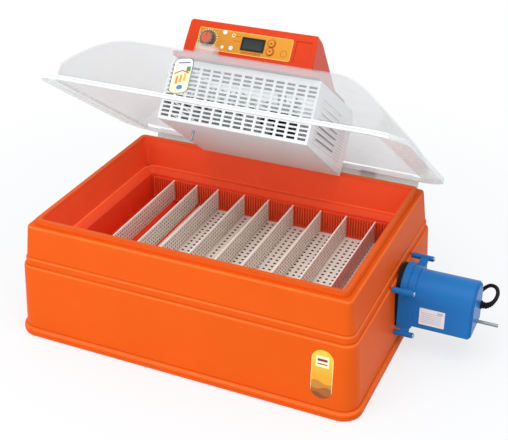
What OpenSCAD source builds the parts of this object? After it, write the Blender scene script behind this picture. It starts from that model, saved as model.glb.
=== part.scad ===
// Egg incubator: a double walled base, a clear dome lid that carries the control unit, and an egg turning drive.
// Millimetres. X runs to the right, Y to the back, Z up; the origin is the middle of the base's underside.
// The lid is drawn in its open place. Every named piece is one module and one line at the end of the file.

/* [Base] */
// Width of the base at the shoulder that the lid rests on
base_width = 640; // [580:5:720]
// Depth of the base at the shoulder
base_depth = 438; // [410:1:460]
// Height of the shoulder above the table
shoulder_height = 233; // [215:1:250]
// Wall thickness of the base mouldings
wall = 3; // [2:0.5:4]
// Height of the rim bead above the shoulder
rim_height = 9; // [6:0.5:11]
// Radius of the upright corners at the shoulder
corner_radius = 9; // [8:1:26]

/* [Egg floor] */
// Top of the sliding egg floor above the table
floor_top = 124; // [118:1:128]
// Spacing of the holes in the egg floor
floor_pitch = 12.5; // [11:0.5:18]
// Side of one hole in the egg floor
floor_hole = 5; // [3:0.5:7]
// Height of the lane dividers
divider_height = 44; // [32:1:48]
// Thickness of a lane divider
divider_thickness = 2.4; // [1.6:0.2:2.8]
// Spacing of the comb teeth that hold the dividers
comb_pitch = 5.5; // [5.5:0.1:6]
// Side of one hole in a divider
divider_hole = 3.6; // [2:0.2:5]

/* [Lid] */
// How far the lid's rim stands out beyond the base on each side
lid_overhang = 37.5; // [34:0.5:50]
// Height of the dome above the lid's rim
dome_height = 107; // [96:1:120]
// Wall thickness of the dome
dome_wall = 2.6; // [2:0.2:3.4]
// Angle at which the lid stands open, in degrees
lid_open = 35.5; // [0:0.1:80]
// Radius of the lid rim's corners
lid_corner = 60; // [40:5:90]

/* [Control unit] */
// Width of the control unit's front
unit_width = 258; // [250:2:300]
// Height of the control unit above the dome
unit_height = 78; // [76:1:100]
// Diameter of the dial
dial_diameter = 31; // [24:1:34]
// Diameter of a push button
button_diameter = 13.5; // [10:0.5:14]

/* [Turning drive] */
// Radius of the drive housing's round top
drive_radius = 41; // [41:0.5:46]
// Length of the drive housing from its flange
drive_length = 138; // [134:1:160]
// Diameter of the push rod
rod_diameter = 6.5; // [5:0.5:8]
// How far the push rod stands out of the housing
rod_out = 40; // [36:1:60]
// Diameter of the mains lead
cord_diameter = 7.5; // [6.5:0.5:8]

/* [Hidden] */
$fn = 48;
hw = base_width / 2;
hd = base_depth / 2;
sh = shoulder_height;
step_low = sh - 80;
step_high = sh - 62;
wall_low = 22.4;
wall_high = 15.4;
wall_lean = atan((wall_high - wall_low) / (step_low - 31));
// how far the lower wall stands out beyond the shoulder at a height
function wall_at(z) = wall_low + (z - 26) * tan(wall_lean);
ledge_z = sh - 51;
tub_floor = 42;
tub_in = 53;
tub_hw = hw - tub_in;
tub_hd = hd - tub_in;

// rod and drive
drive_y = 36;
drive_z = 120;
drive_low = drive_z - 57;
drive_x = hw + 24;
rod_y = drive_y + 6;
rod_z = drive_z - 44;
cord_y = drive_y + 30;
cord_z = drive_z - 22;
drive_end = drive_x + drive_length;
rod_tip = drive_end + rod_out;
pinion_radius = 12;
pinion_x = drive_x + 82;
rack_top = rod_z + 6;
pinion_z = rack_top + pinion_radius - 1.5;
boss_list = [[-66, 31], [66, 31], [-49, -72], [49, -72]];

// lid
rear_y = hd + 6.5;
lid_depth = base_depth + 6.5;
lid_width = base_width + 2 * lid_overhang;
hinge_y = hd + 13;
hinge_z = sh - 51;
arm_x = 190;
dome_hw = hw + 8;
side_flat = dome_hw - 148;
side_r = (148 * 148 + dome_height * dome_height) / (2 * dome_height);
front_v = lid_depth - 3.5;
back_v = 11;
front_in = 48;
back_in = 27;
arc_r = 25;
box_hw = 152;
box_front = lid_depth - 138;
box_back = 64;
unit_v = lid_depth - 131.7;
unit_hw = unit_width / 2;
unit_top = dome_height + unit_height;
sill_top = dome_height + 18;
panel_w = unit_top - 36;

// dividers stand in every tenth comb gap or so
divider_gaps = [-39, -29, -20, -9, 1, 11, 22, 32, 43];
function divider_x(i) = (divider_gaps[i] + 0.5) * comb_pitch;
divider_low = floor_top + 2;
comb_tip = tub_hd - 7.2;
divider_end = tub_hd - 2.4;

// shared shapes

// flat rounded rectangle
module outline(w, d, r) {
    square([w - 2 * r, d], center = true);
    square([w, d - 2 * r], center = true);
    for (sx = [-1, 1], sy = [-1, 1])
        translate([sx * (w / 2 - r), sy * (d / 2 - r)])
            circle(r = r);
}

// a wall section carried round a rounded rectangle, x of the section measured outward from the side
module sweep_ring(w, d, r) {
    for (turn = [0, 180])
        rotate([0, 0, turn])
            translate([-(w / 2 - r), d / 2, 0])
                rotate([90, 0, 90])
                    linear_extrude(height = w - 2 * r)
                        children();
    for (turn = [90, 270])
        rotate([0, 0, turn])
            translate([-(d / 2 - r), w / 2, 0])
                rotate([90, 0, 90])
                    linear_extrude(height = d - 2 * r)
                        children();
    corners = [[1, 1, 0], [-1, 1, 90], [-1, -1, 180], [1, -1, 270]];
    for (c = corners)
        translate([c[0] * (w / 2 - r), c[1] * (d / 2 - r), 0])
            rotate([0, 0, c[2]])
                rotate_extrude(angle = 90)
                    translate([r, 0])
                        children();
}

// section drawn in depth and height, carried along X
module along_x(length) {
    translate([-length / 2, 0, 0])
        rotate([90, 0, 90])
            linear_extrude(height = length)
                children();
}

// section drawn in width and height, carried along Y from y0 to y1
module along_y(y0, y1) {
    translate([0, y1, 0])
        rotate([90, 0, 0])
            linear_extrude(height = y1 - y0)
                children();
}

module rod_x(x0, x1, y, z, d) {
    translate([x0, y, z])
        rotate([0, 90, 0])
            cylinder(h = x1 - x0, d = d);
}

module rod_along_y(y0, y1, x, z, d) {
    translate([x, y1, z])
        rotate([90, 0, 0])
            cylinder(h = y1 - y0, d = d);
}

// places a piece drawn on the lid: x across, minus y away from the rear edge, z above the rim
module on_lid() {
    translate([0, hinge_y, hinge_z])
        rotate([-lid_open, 0, 0])
            translate([0, rear_y - hinge_y, sh - hinge_z])
                children();
}

// base

module outer_section() {
    polygon([
        [22, 0], [25.2, 0.7], [27.6, 2.6], [28.8, 5.6], [29, 8], [29, 12.6], [28.4, 15.4], [27, 17.2], [25, 18],
        [wall_low + 1.2, 18.4], [wall_low + 0.2, 19.6], [wall_low, 26], [wall_high, step_low - 5],
        [wall_high - 0.6, step_low - 2.4], [wall_high - 2, step_low - 0.6], [wall_high - 4, step_low],
        [10.8, step_low + 1.4], [10.6, step_high - 7], [10.2, step_high - 4.6], [9, step_high - 3],
        [8, step_high - 2], [7.8, step_high], [0.8, sh - 4.5], [0, sh - 2], [-1.6, sh - 0.4], [-3.4, sh],
        [-4.5, sh], [-4.5, sh - wall], [-3.6, sh - wall], [-2.6, sh - wall - 1.4], [7.8 - wall, step_high - 1.2],
        [8 - wall, step_high - 4], [7.6, step_high - 8], [7.8, step_low - 1], [wall_high - 5, step_low - wall],
        [wall_high - wall, step_low - 6], [wall_low - wall, 26], [wall_low - wall, 15.2], [23.4, 15],
        [25.4, 14], [26, 12.4], [26, 8], [25.2, 4.6], [23.4, wall], [22, wall]
    ]);
}

module outer_case() {
    color("#f26422")
        difference() {
            union() {
                sweep_ring(base_width, base_depth, corner_radius)
                    outer_section();
                translate([0, 0, sh - wall])
                    linear_extrude(height = wall)
                        difference() {
                            outline(base_width - 8, base_depth - 8, corner_radius - 4);
                            outline(base_width - 30, base_depth - 30, 3);
                        }
                linear_extrude(height = wall)
                    outline(base_width + 46, base_depth + 46, corner_radius + 23);
                for (px = [-0.62, 0, 0.62], py = [-0.5, 0.5])
                    translate([px * hw, py * hd, wall - 0.5])
                        cylinder(h = tub_floor - wall + 0.5, d = 16);
            }
            rod_x(hw - 10, hw + 30, rod_y, rod_z, rod_diameter + 9);
            for (b = boss_list)
                rod_x(hw - 10, hw + 30, drive_y + b[0], drive_z + b[1], 4.4);
            for (sx = [-1, 1], dz = [105, 140])
                translate([0, hd + 30, 0])
                    rod_along_y(-40, 10, sx * arm_x, dz, 4.4);
        }
}

module inner_tub() {
    color("#e03c28")
        difference() {
            union() {
                translate([0, 0, sh])
                    linear_extrude(height = rim_height - 1.6)
                        difference() {
                            outline(base_width - 19, base_depth - 19, 12);
                            outline(base_width - 42, base_depth - 42, 6);
                        }
                translate([0, 0, sh + rim_height - 1.6])
                    linear_extrude(height = 1.6)
                        difference() {
                            outline(base_width - 22, base_depth - 22, 10.5);
                            outline(base_width - 39.6, base_depth - 39.6, 7.2);
                        }
                sweep_ring(base_width - 42, base_depth - 42, 14)
                    polygon([[0, sh + 4], [wall, sh + 4], [wall - 11.4, ledge_z - 1], [-11.4, ledge_z - 1]]);
                sweep_ring(base_width - 88, base_depth - 88, 13)
                    polygon([
                        [14, ledge_z + 2], [14, ledge_z - 1], [4, ledge_z - 3], [wall - 7.6, ledge_z - 9],
                        [wall - 9, floor_top - 4], [wall - 10, tub_floor], [-10, tub_floor], [-9, floor_top - 4],
                        [-7.6, ledge_z - 8], [-0.6, ledge_z - 1.4], [1, ledge_z + 0.2], [4, ledge_z + 0.8]
                    ]);
                translate([0, 0, tub_floor])
                    linear_extrude(height = wall)
                        outline(2 * tub_hw - 1, 2 * tub_hd - 1, 3);
                // rails that the egg floor slides on
                for (ry = [-130, -30, 25, 130])
                    translate([-tub_hw + 110, ry - 2, tub_floor + 1])
                        cube([2 * tub_hw - 111, 4, floor_top - wall - tub_floor - 1]);
                // fixed shelf at the left end
                translate([-tub_hw - 1, -tub_hd - 0.5, floor_top - 9])
                    cube([112, 2 * tub_hd + 1, 3]);
                translate([-tub_hw + 107, -tub_hd - 0.5, tub_floor + 1])
                    cube([4, 2 * tub_hd + 1, floor_top - tub_floor - 8]);
            }
            rod_x(tub_hw - 30, hw, rod_y, rod_z, rod_diameter + 9);
        }
}

module comb(side) {
    first = -floor(tub_hw / comb_pitch) + 1;
    last = floor(tub_hw / comb_pitch) - 1;
    color("#d93a26")
        scale([1, side, 1])
            union() {
                translate([0, 0, divider_low])
                    linear_extrude(height = divider_height)
                        union() {
                            translate([-tub_hw + 3, tub_hd - 2])
                                square([2 * tub_hw - 6, 1.9]);
                            for (k = [first:last])
                                translate([k * comb_pitch - 1, comb_tip])
                                    square([2, tub_hd - comb_tip - 1]);
                        }
                translate([-tub_hw + 3, comb_tip, divider_low - 3])
                    cube([2 * tub_hw - 6, tub_hd - comb_tip - 0.1, 3]);
            }
}

module comb_front() {
    comb(-1);
}

module comb_back() {
    comb(1);
}

// one perforated lane divider, with a plain strip along its top and both ends
module divider(i) {
    step = 8;
    columns = floor((2 * comb_tip - 12) / step);
    rows = floor((divider_height - 4) / step);
    color("#e6ddd0")
        translate([divider_x(i) - divider_thickness / 2, 0, divider_low])
            rotate([90, 0, 90])
                linear_extrude(height = divider_thickness)
                    difference() {
                        translate([-divider_end, 0])
                            square([2 * divider_end, divider_height]);
                        for (c = [0:columns - 1], r = [0:rows - 1])
                            translate([(c - (columns - 1) / 2) * step, 4.5 + r * step])
                                square(divider_hole, center = true);
                    }
}

module divider_1() { divider(0); }
module divider_2() { divider(1); }
module divider_3() { divider(2); }
module divider_4() { divider(3); }
module divider_5() { divider(4); }
module divider_6() { divider(5); }
module divider_7() { divider(6); }
module divider_8() { divider(7); }
module divider_9() { divider(8); }

module hinge_bracket(side) {
    low = 90;
    color("#c7ccd1")
        translate([side * arm_x, 0, 0])
            difference() {
                union() {
                    for (sx = [-1, 1])
                        translate([sx * 26, 0, 0])
                            along_x(16)
                                union() {
                                    polygon([
                                        [hd + wall_at(low) + 0.2, low], [hd + wall_at(low) + 5.2, low],
                                        [hd + wall_high + 5.2, step_low - 5], [hd + wall_high + 5.2, hinge_z],
                                        [hd + wall_high + 0.2, hinge_z], [hd + wall_high + 0.2, step_low - 5]
                                    ]);
                                    translate([hinge_y, hinge_z])
                                        circle(r = 6);
                                }
                    along_x(68)
                        polygon([
                            [hd + wall_at(low) + 0.2, low], [hd + wall_at(low) + 4.2, low],
                            [hd + wall_high + 4.2, step_low - 5], [hd + wall_high + 4.2, step_low],
                            [hd + wall_high + 0.2, step_low], [hd + wall_high + 0.2, step_low - 5]
                        ]);
                }
                rod_x(-40, 40, hinge_y, hinge_z, 5);
                for (dz = [105, 140])
                    rod_along_y(hd, hd + 30, 0, dz, 4.4);
            }
}

module hinge_bracket_left() {
    hinge_bracket(-1);
}

module hinge_bracket_right() {
    hinge_bracket(1);
}

module hinge_pin(side) {
    color("#9aa0a6")
        union() {
            rod_x(side * arm_x - 36, side * arm_x + 36, hinge_y, hinge_z, 5);
            rod_x(side * arm_x - 38, side * arm_x - 35, hinge_y, hinge_z, 8.5);
        }
}

module hinge_pin_left() {
    hinge_pin(-1);
}

module hinge_pin_right() {
    hinge_pin(1);
}

module hinge_screws() {
    color("#8d939a")
        for (sx = [-1, 1], dz = [105, 140]) {
            plate = hd + wall_at(dz - 4) + 4.2;
            rod_along_y(hd + 4, plate + 0.5, sx * arm_x, dz, 4.2);
            rod_along_y(plate, plate + 2.4, sx * arm_x, dz, 8);
        }
}

// a plain oblong plate on the front of the base, its picture added as a surface finish
module front_label() {
    color("#f2b13a")
        translate([hw - 40, -hd - wall_low, 26])
            rotate([90 + wall_lean, 0, 0])
                translate([0, 61, 0.05])
                    linear_extrude(height = 0.5)
                        outline(40, 98, 19.5);
}

// turning drive

// the housing's cross section: flat front, back and bottom, round top
module drive_outline(grow) {
    r = drive_radius + grow;
    translate([drive_y, drive_z])
        union() {
            circle(r = r);
            translate([-r, drive_low - drive_z - grow * 0.6])
                square([2 * r, drive_z - drive_low + grow * 0.6]);
        }
}

module drive_slab(x0, x1, grow) {
    translate([x0, 0, 0])
        rotate([90, 0, 90])
            linear_extrude(height = x1 - x0)
                drive_outline(grow);
}

module turner_gasket() {
    color("#1c1c1e")
        difference() {
            intersection() {
                drive_slab(hw + 8, drive_x, 5);
                along_y(-60, 170)
                    polygon([
                        [hw + wall_at(40) + 0.05, 40], [drive_x, 40], [drive_x, 200], [hw + wall_at(200) + 0.05, 200]
                    ]);
            }
            drive_slab(hw, drive_x + 1, -6);
        }
}

module turner_housing() {
    tail = drive_end;
    color("#2673be")
        difference() {
            union() {
                drive_slab(drive_x, drive_x + 13, 8);
                drive_slab(drive_x + 12, drive_x + 27, 4);
                drive_slab(drive_x + 26, tail - 4, 0);
                drive_slab(tail - 5, tail - 1.6, -2);
                drive_slab(tail - 2, tail, -4.5);
                // tubular screw bosses on webs
                for (b = boss_list) {
                    rod_x(
                        hw + wall_at(drive_z + b[1] - 6) + 0.1, drive_x + 33,
                        drive_y + b[0], drive_z + b[1], 10.6
                    );
                    translate([drive_x + 9, drive_y, drive_z])
                        rotate([atan2(b[1], b[0]), 0, 0])
                            translate([0, norm(b) - 32, -3.5])
                                cube([15, 32, 7]);
                }
                // seat for the gear motor
                translate([drive_x + 50, drive_y - drive_radius + 1, drive_low + 18])
                    cube([62, 6, 34]);
            }
            difference() {
                drive_slab(drive_x - 2, tail - 4.5, -3);
                translate([drive_x + 50, drive_y - drive_radius, drive_low + 18])
                    cube([62, 7, 34]);
            }
            rod_x(tail - 10, tail + 5, rod_y, rod_z, rod_diameter + 0.12);
            rod_x(tail - 10, tail + 5, cord_y, cord_z, 10);
            for (b = boss_list)
                rod_x(hw + 4, drive_x + 40, drive_y + b[0], drive_z + b[1], 4.4);
        }
}

module turner_screws() {
    color("#b9bec4")
        for (b = boss_list) {
            rod_x(hw + 6, drive_x + 34, drive_y + b[0], drive_z + b[1], 4.2);
            rod_x(drive_x + 33, drive_x + 35.6, drive_y + b[0], drive_z + b[1], 8.4);
        }
}

module turner_gearmotor() {
    front = drive_y - drive_radius + 7;
    color("#6c7178")
        difference() {
            union() {
                translate([drive_x + 52, front, drive_low + 20])
                    cube([58, drive_y - 1 - front, 30]);
                translate([drive_x + 58, front + 8, drive_low + 48])
                    cube([46, 28, 22]);
                rod_x(drive_x + 34, drive_x + 120, drive_y, drive_z + 12, 44);
                rod_x(drive_x + 26, drive_x + 35, drive_y, drive_z + 12, 16);
            }
            rod_along_y(drive_y - 21, drive_y + 9, pinion_x, pinion_z, 6.1);
        }
}

module motor_label() {
    color("#eceff1")
        translate([drive_x + 64, drive_y - drive_radius - 0.05, drive_z - 29])
            rotate([90, 0, 0])
                linear_extrude(height = 0.4)
                    outline(48, 36, 1.5);
}

// the sliding egg floor

module floor_grid() {
    x0 = divider_x(1) + 5;
    x1 = tub_hw - 14;
    half = comb_tip - 0.8;
    columns = floor((x1 - x0 - 8) / floor_pitch);
    rows = floor((2 * half - 8) / floor_pitch);
    mid = (x0 + x1) / 2;
    color("#e8ddd2")
        translate([0, 0, floor_top - wall])
            linear_extrude(height = wall)
                difference() {
                    translate([x0, -half])
                        square([x1 - x0, 2 * half]);
                    for (c = [0:columns - 1], r = [0:rows - 1])
                        translate([mid + (c - (columns - 1) / 2) * floor_pitch, (r - (rows - 1) / 2) * floor_pitch])
                            square(floor_hole, center = true);
                }
}

// raised pull tab at the far right corner of the egg floor, clear of the dividers over the whole stroke
module floor_tab() {
    half = comb_tip - 0.8;
    color("#e8ddd2")
        translate([divider_x(8) - 21.5, half - 9, floor_top])
            union() {
                cube([18, 8, 2]);
                translate([0, 5, 0])
                    cube([18, 3, 7]);
            }
}

module drive_bracket() {
    x = tub_hw - 46;
    color("#d8d2c8")
        difference() {
            union() {
                translate([x, rod_y - 9, floor_top - wall - 3])
                    cube([34, 18, 3]);
                translate([x, rod_y - 9, rod_z])
                    cube([5, 18, floor_top - wall - rod_z]);
                rod_x(x, x + 16, rod_y, rod_z, 18);
            }
            rod_x(x - 1, x + 20, rod_y, rod_z, rod_diameter);
        }
}

module push_rod() {
    x = tub_hw - 46;
    rack0 = drive_x + 52;
    teeth = 16;
    pitch = 2 * PI * pinion_radius / 18;
    color("#8f989c")
        union() {
            rod_x(x, rod_tip, rod_y, rod_z, rod_diameter);
            difference() {
                translate([rack0, rod_y - 4, rod_z - 4])
                    cube([teeth * pitch, 8, rack_top - rod_z + 4]);
                for (k = [0:teeth - 1])
                    translate([rack0 + (k + 0.75) * pitch, 0, 0])
                        along_y(rod_y - 5, rod_y + 5)
                            polygon([
                                [-0.5, rack_top - 3.2], [0.5, rack_top - 3.2], [1.35, rack_top + 0.1],
                                [-1.35, rack_top + 0.1]
                            ]);
            }
        }
}

module drive_pinion() {
    teeth = 18;
    pitch = 2 * PI * pinion_radius / 18;
    // the tooth that points down stands in a gap of the rack
    place = (drive_x + 52 + 8.75 * pitch - pinion_x) / pinion_radius * 180 / PI;
    color("#d9d9d4")
        union() {
            translate([pinion_x, rod_y + 3, pinion_z])
                rotate([90, 0, 0])
                    linear_extrude(height = 6)
                        rotate([0, 0, place])
                            union() {
                                circle(r = pinion_radius - 1.6);
                                for (k = [0:teeth - 1])
                                    rotate([0, 0, -90 + k * 360 / teeth])
                                        polygon([
                                            [8, -0.95], [pinion_radius - 1, -0.75], [pinion_radius + 0.9, -0.25],
                                            [pinion_radius + 0.9, 0.25], [pinion_radius - 1, 0.75], [8, 0.95]
                                        ]);
                            }
            rod_along_y(drive_y - 15, rod_y + 6, pinion_x, pinion_z, 6);
            rod_along_y(drive_y - 0.6, rod_y - 2, pinion_x, pinion_z, 12);
        }
}

// mains lead of the turning drive

// route of the free stretch, from the gland to the coil
cord_route = [
    [drive_end + 9, cord_y, cord_z], [drive_end + 17, cord_y + 1.5, cord_z + 4],
    [drive_end + 24, cord_y + 7.5, cord_z + 12], [drive_end + 26, cord_y + 16, cord_z + 21],
    [drive_end + 22, cord_y + 25, cord_z + 26], [drive_end + 14, cord_y + 32, cord_z + 26],
    [drive_end + 4, cord_y + 38, cord_z + 20], [drive_end - 8, cord_y + 41, cord_z + 5],
    [drive_end - 19, cord_y + 43, cord_z - 17], [drive_end - 29, cord_y + 46, cord_z - 43],
    [drive_end - 38, cord_y + 51, 29], [drive_end - 48, cord_y + 61, 11.5], [drive_end - 59, cord_y + 80, 5.2],
    [drive_end - 74, cord_y + 112, 4.6], [drive_end - 94, cord_y + 150, 4.6], [drive_end - 118, hd + 32, 4.6],
    [drive_end - 146, hd + 54, 4.8], [drive_end - 178, hd + 63, 5.2], [drive_end - 206, hd + 64, 5.4],
    [drive_end - 238, hd + 63.8, 5.4]
];
coil_centre = [drive_end - 278, hd + 105];
coil_radius = 41.5;
coil_step = cord_diameter + 1.9;
coil_lift = cord_diameter + 0.9;
coil_z = 5.4;
coil_layers = 4;

function unit(v) = v / norm(v);
function tangent(p, i) = unit(p[min(i + 1, len(p) - 1)] - p[max(i - 1, 0)]);
function level(n, t) = unit(n - (n * t) * t);
function normals(p, i, n) = i >= len(p) ? [] : let (m = level(n, tangent(p, i))) concat([m], normals(p, i + 1, m));

// a round tube along a list of points
module tube(p, d, sides, start) {
    n = len(p);
    frame = normals(p, 0, start);
    points = [
        for (i = [0:n - 1], k = [0:sides - 1])
            let (t = tangent(p, i), b = cross(t, frame[i]), a = k * 360 / sides)
                p[i] + d / 2 * (cos(a) * frame[i] + sin(a) * b)
    ];
    quads = [
        for (i = [0:n - 2], k = [0:sides - 1], half = [0, 1])
            let (a = i * sides + k, b = i * sides + (k + 1) % sides)
                half == 0 ? [a, a + sides, b + sides] : [a, b + sides, b]
    ];
    first = [for (k = [0:sides - 1]) k];
    last = [for (k = [sides - 1:-1:0]) (n - 1) * sides + k];
    polyhedron(points = points, faces = concat(quads, [first, last]), convexity = 8);
}

// each layer is one loop, inward and outward in turn, with a half turn to climb to the next
function coil_layer(t) = floor(t / 1.5);
function coil_part(t) = t - 1.5 * coil_layer(t);
function coil_r(t) =
    coil_layer(t) % 2 == 0
    ? coil_radius - coil_step * min(coil_part(t), 1)
    : coil_radius - coil_step * (1 - min(coil_part(t), 1));
function coil_h(t) =
    coil_z + coil_lift * (coil_layer(t) + (1 - cos(360 * max(coil_part(t) - 1, 0))) / 2);
function coil_at(t) =
    let (a = -90 - 360 * t)
        [coil_centre[0] + coil_r(t) * cos(a), coil_centre[1] + coil_r(t) * sin(a), coil_h(t)];
coil_turns = 1.5 * coil_layers - 1;
coil_ring = [for (i = [0:round(coil_turns * 24)]) coil_at(i / 24)];
coil_last = coil_ring[len(coil_ring) - 1];
// the free end runs off the top layer and down to the plug: distance to the left, share of the way down
coil_tail = [[7.5, 0], [20, 0], [32, 0.03], [48, 0.26], [64, 0.66], [80, 0.93], [93, 1], [104, 1]];
plug_z = 7;
coil_points = concat(
    [coil_ring[0] + [cord_diameter, 0, 0]],
    coil_ring,
    [for (q = coil_tail) coil_last + [-q[0], 0, q[1] * (plug_z - coil_last[2])]]
);
coil_gap = min([
    for (i = [0:len(coil_ring) - 1], j = [i + 13:1:len(coil_ring) - 1])
        norm(coil_ring[i] - coil_ring[j])
]) - cord_diameter;
function path_length(p) =
    [for (i = [1:len(p) - 1]) norm(p[i] - p[i - 1])] * [for (i = [1:len(p) - 1]) 1];
coil_length = path_length(coil_points);
// smooth curve through the route points
function blend(a, b, c, d, t) =
    0.5 * (2 * b + (c - a) * t + (2 * a - 5 * b + 4 * c - d) * t * t + (3 * b - a - 3 * c + d) * t * t * t);
route_all = concat(cord_route, [coil_points[0] + [0.01, 0, 0]]);
route_points = concat(
    [
        for (i = [0:len(route_all) - 2], s = [0, 0.5])
            blend(
                route_all[max(i - 1, 0)], route_all[i], route_all[i + 1],
                route_all[min(i + 2, len(route_all) - 1)], s
            )
    ],
    [route_all[len(route_all) - 1]]
);
route_length = path_length(route_points);
echo(coil_gap = coil_gap, coil_length = coil_length, route_length = route_length);

module cord_gland() {
    color("#1b1b1d")
        union() {
            rod_x(drive_end - 4, drive_end + 0.5, cord_y, cord_z, 10);
            rod_x(drive_end, drive_end + 2.8, cord_y, cord_z, 14);
            difference() {
                rod_x(drive_end + 2.5, drive_end + 9, cord_y, cord_z, 11);
                rod_x(drive_end + 3, drive_end + 12, cord_y, cord_z, cord_diameter);
            }
        }
}

module motor_cord() {
    color("#161618")
        tube(concat([[drive_end + 3, cord_y, cord_z]], route_points), cord_diameter, 8, [0, 0, 1]);
}

module cord_coil() {
    color("#161618")
        tube(coil_points, cord_diameter, 6, [0, 0, 1]);
}

module cord_tie() {
    low = 0.3;
    high = coil_z + coil_lift * (coil_layers - 1) + cord_diameter / 2 + 0.4;
    inner = coil_radius - coil_step - cord_diameter / 2 - 2.4;
    outer = coil_radius + cord_diameter / 2 + 1.5;
    color("#2a2a2c")
        translate([coil_centre[0] - outer, coil_centre[1] - 4, low])
            difference() {
                cube([outer - inner, 8, high - low + 1.2]);
                translate([1.2, -1, 1])
                    cube([outer - inner - 2.4, 10, high - low - 1]);
            }
}

module mains_plug() {
    p = coil_points[len(coil_points) - 1];
    color("#1b1b1d")
        translate(p)
            union() {
                rod_x(-16, 0, 0, 0, 11);
                translate([-46, -17.5, -6.8])
                    cube([32, 35, 13.6]);
                for (sy = [-1, 1])
                    rod_x(-64, -45, sy * 9.5, 0, 4);
            }
}

// lid

// the dome's outside, or its inside with t taken off
module dome_solid(t) {
    top = dome_height - t;
    r = arc_r - t;
    slope_f = front_in / (dome_height * 0.91);
    slope_b = back_in / (dome_height * 0.91);
    lean_f = atan(slope_f);
    lean_b = atan(slope_b);
    f0 = front_v - t / cos(lean_f);
    b0 = back_v + t / cos(lean_b);
    fc = f0 - slope_f * (top - r) - r / cos(lean_f);
    bc = b0 + slope_b * (top - r) + r / cos(lean_b);
    far = r + 20;
    // each round edge stands a hair proud of the faces it joins and is trimmed by them
    proud = 0.1;
    intersection() {
        along_x(2 * dome_hw + 20)
            intersection() {
                polygon([
                    [-f0 + slope_f / 2, 0.5], [-f0 + slope_f * top, top], [-b0 - slope_b * top, top],
                    [-b0 - slope_b / 2, 0.5]
                ]);
                union() {
                    polygon([
                        [-f0 - 40, -5], [-fc - far * cos(lean_f), top - r + far * sin(lean_f)], [-fc, top - r],
                        [-fc, top + 20], [-bc, top + 20], [-bc, top - r],
                        [-bc + far * cos(lean_b), top - r + far * sin(lean_b)], [-b0 + 40, -5]
                    ]);
                    translate([-fc, top - r])
                        circle(r = r + proud);
                    translate([-bc, top - r])
                        circle(r = r + proud);
                }
            }
        along_y(-lid_depth, 0)
            intersection() {
                translate([-dome_hw - 5, -1])
                    square([2 * dome_hw + 10, top + 1]);
                union() {
                    translate([-side_flat, -5])
                        square([2 * side_flat, top + 10]);
                    for (sx = [-1, 1])
                        translate([sx * side_flat, dome_height - side_r + proud])
                            circle(r = side_r - t, $fn = 96);
                }
            }
        translate([0, -(front_v + back_v) / 2, -1])
            linear_extrude(height = dome_height + 2)
                outline(2 * dome_hw - 2 * t, front_v - back_v + 1 - 2 * t, 58 - t);
    }
}

module lid_shell() {
    color("#dfe6e6")
        on_lid()
            difference() {
                union() {
                    dome_solid(0);
                    translate([0, -lid_depth / 2, 0])
                        linear_extrude(height = 3)
                            outline(lid_width, lid_depth, lid_corner);
                    translate([0, -lid_depth / 2, 0])
                        linear_extrude(height = 8.5)
                            difference() {
                                outline(lid_width, lid_depth, lid_corner);
                                outline(lid_width - 6, lid_depth - 6, lid_corner - 3);
                            }
                    // apron below the rear edge
                    translate([lid_corner - lid_width / 2, -2.5, -14])
                        cube([lid_width - 2 * lid_corner, 2.5, 15]);
                }
                difference() {
                    dome_solid(dome_wall);
                    translate([-lid_width, -lid_depth, -2])
                        cube([2 * lid_width, 2 * lid_depth, 5]);
                }
                translate([0, -(hd + 6.5), -2])
                    linear_extrude(height = 5.1)
                        outline(base_width - 14, base_depth - 14, 16);
                // lower part of the dome is cleared for the rim bead
                translate([0, -(hd + 6.5), 2.9])
                    linear_extrude(height = rim_height)
                        outline(base_width - 14, base_depth - 14, 16);
                // wiring opening under the control unit
                translate([-70, -unit_v + 40, dome_height - 20])
                    cube([140, 60, 30]);
                // filler opening under the hopper
                translate([-56, -unit_v - 30, dome_height - 20])
                    cylinder(h = 40, d = 9);
            }
}

module lid_label() {
    lean = atan(front_in / (dome_height * 0.91));
    color("#f4f6f2")
        on_lid()
            translate([-69, -front_v, 0])
                rotate([90 - lean, 0, 0])
                    translate([0, 56, 0.05])
                        rotate([0, 0, 13])
                            linear_extrude(height = 0.5)
                                outline(36, 82, 12);
}

module filler_hopper() {
    color("#eef2f1")
        on_lid()
            difference() {
                translate([-68, -unit_v - 30, dome_height - 14])
                    difference() {
                        translate([-20, -11, 0])
                            cube([40, 22, 36]);
                        translate([-18, -9, 0])
                            cube([36, 18, 50]);
                    }
                dome_solid(-0.02);
            }
}

// side shape of the control unit: upright front, back sloping down to the dome
module unit_profile(t) {
    polygon([
        [-unit_v + t, dome_height], [-unit_v + t, unit_top - 6], [-unit_v + 2 + t, unit_top - 2 - t],
        [-unit_v + 8 + t, unit_top - t * 1.2], [-unit_v + 24, unit_top - t * 1.2 - 3],
        [-unit_v + 168 - 2 * t, sill_top - 8 - t], [-unit_v + 172 - 2 * t, dome_height]
    ]);
}

module unit_body(t) {
    intersection() {
        along_x(unit_width + 40)
            unit_profile(t);
        along_y(-unit_v - 5, -unit_v + 200)
            polygon([
                [-unit_hw - 3 + t, dome_height], [unit_hw + 3 - t, dome_height], [unit_hw - 1 - t, unit_top - 6],
                [unit_hw - 5 - t, unit_top + 1], [-unit_hw + 5 + t, unit_top + 1], [-unit_hw + 1 + t, unit_top - 6]
            ]);
        translate([0, -unit_v + 85, dome_height - 1])
            linear_extrude(height = unit_height + 5)
                outline(unit_width + 6 - 2 * t, 176 - 2 * t, 8 - t);
    }
}

dial_u = -85;
button_u = 43;
button_gap = 15.5;
window_u = 7;
lamp_list = [[-53, 16], [-35, -12]];

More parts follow.
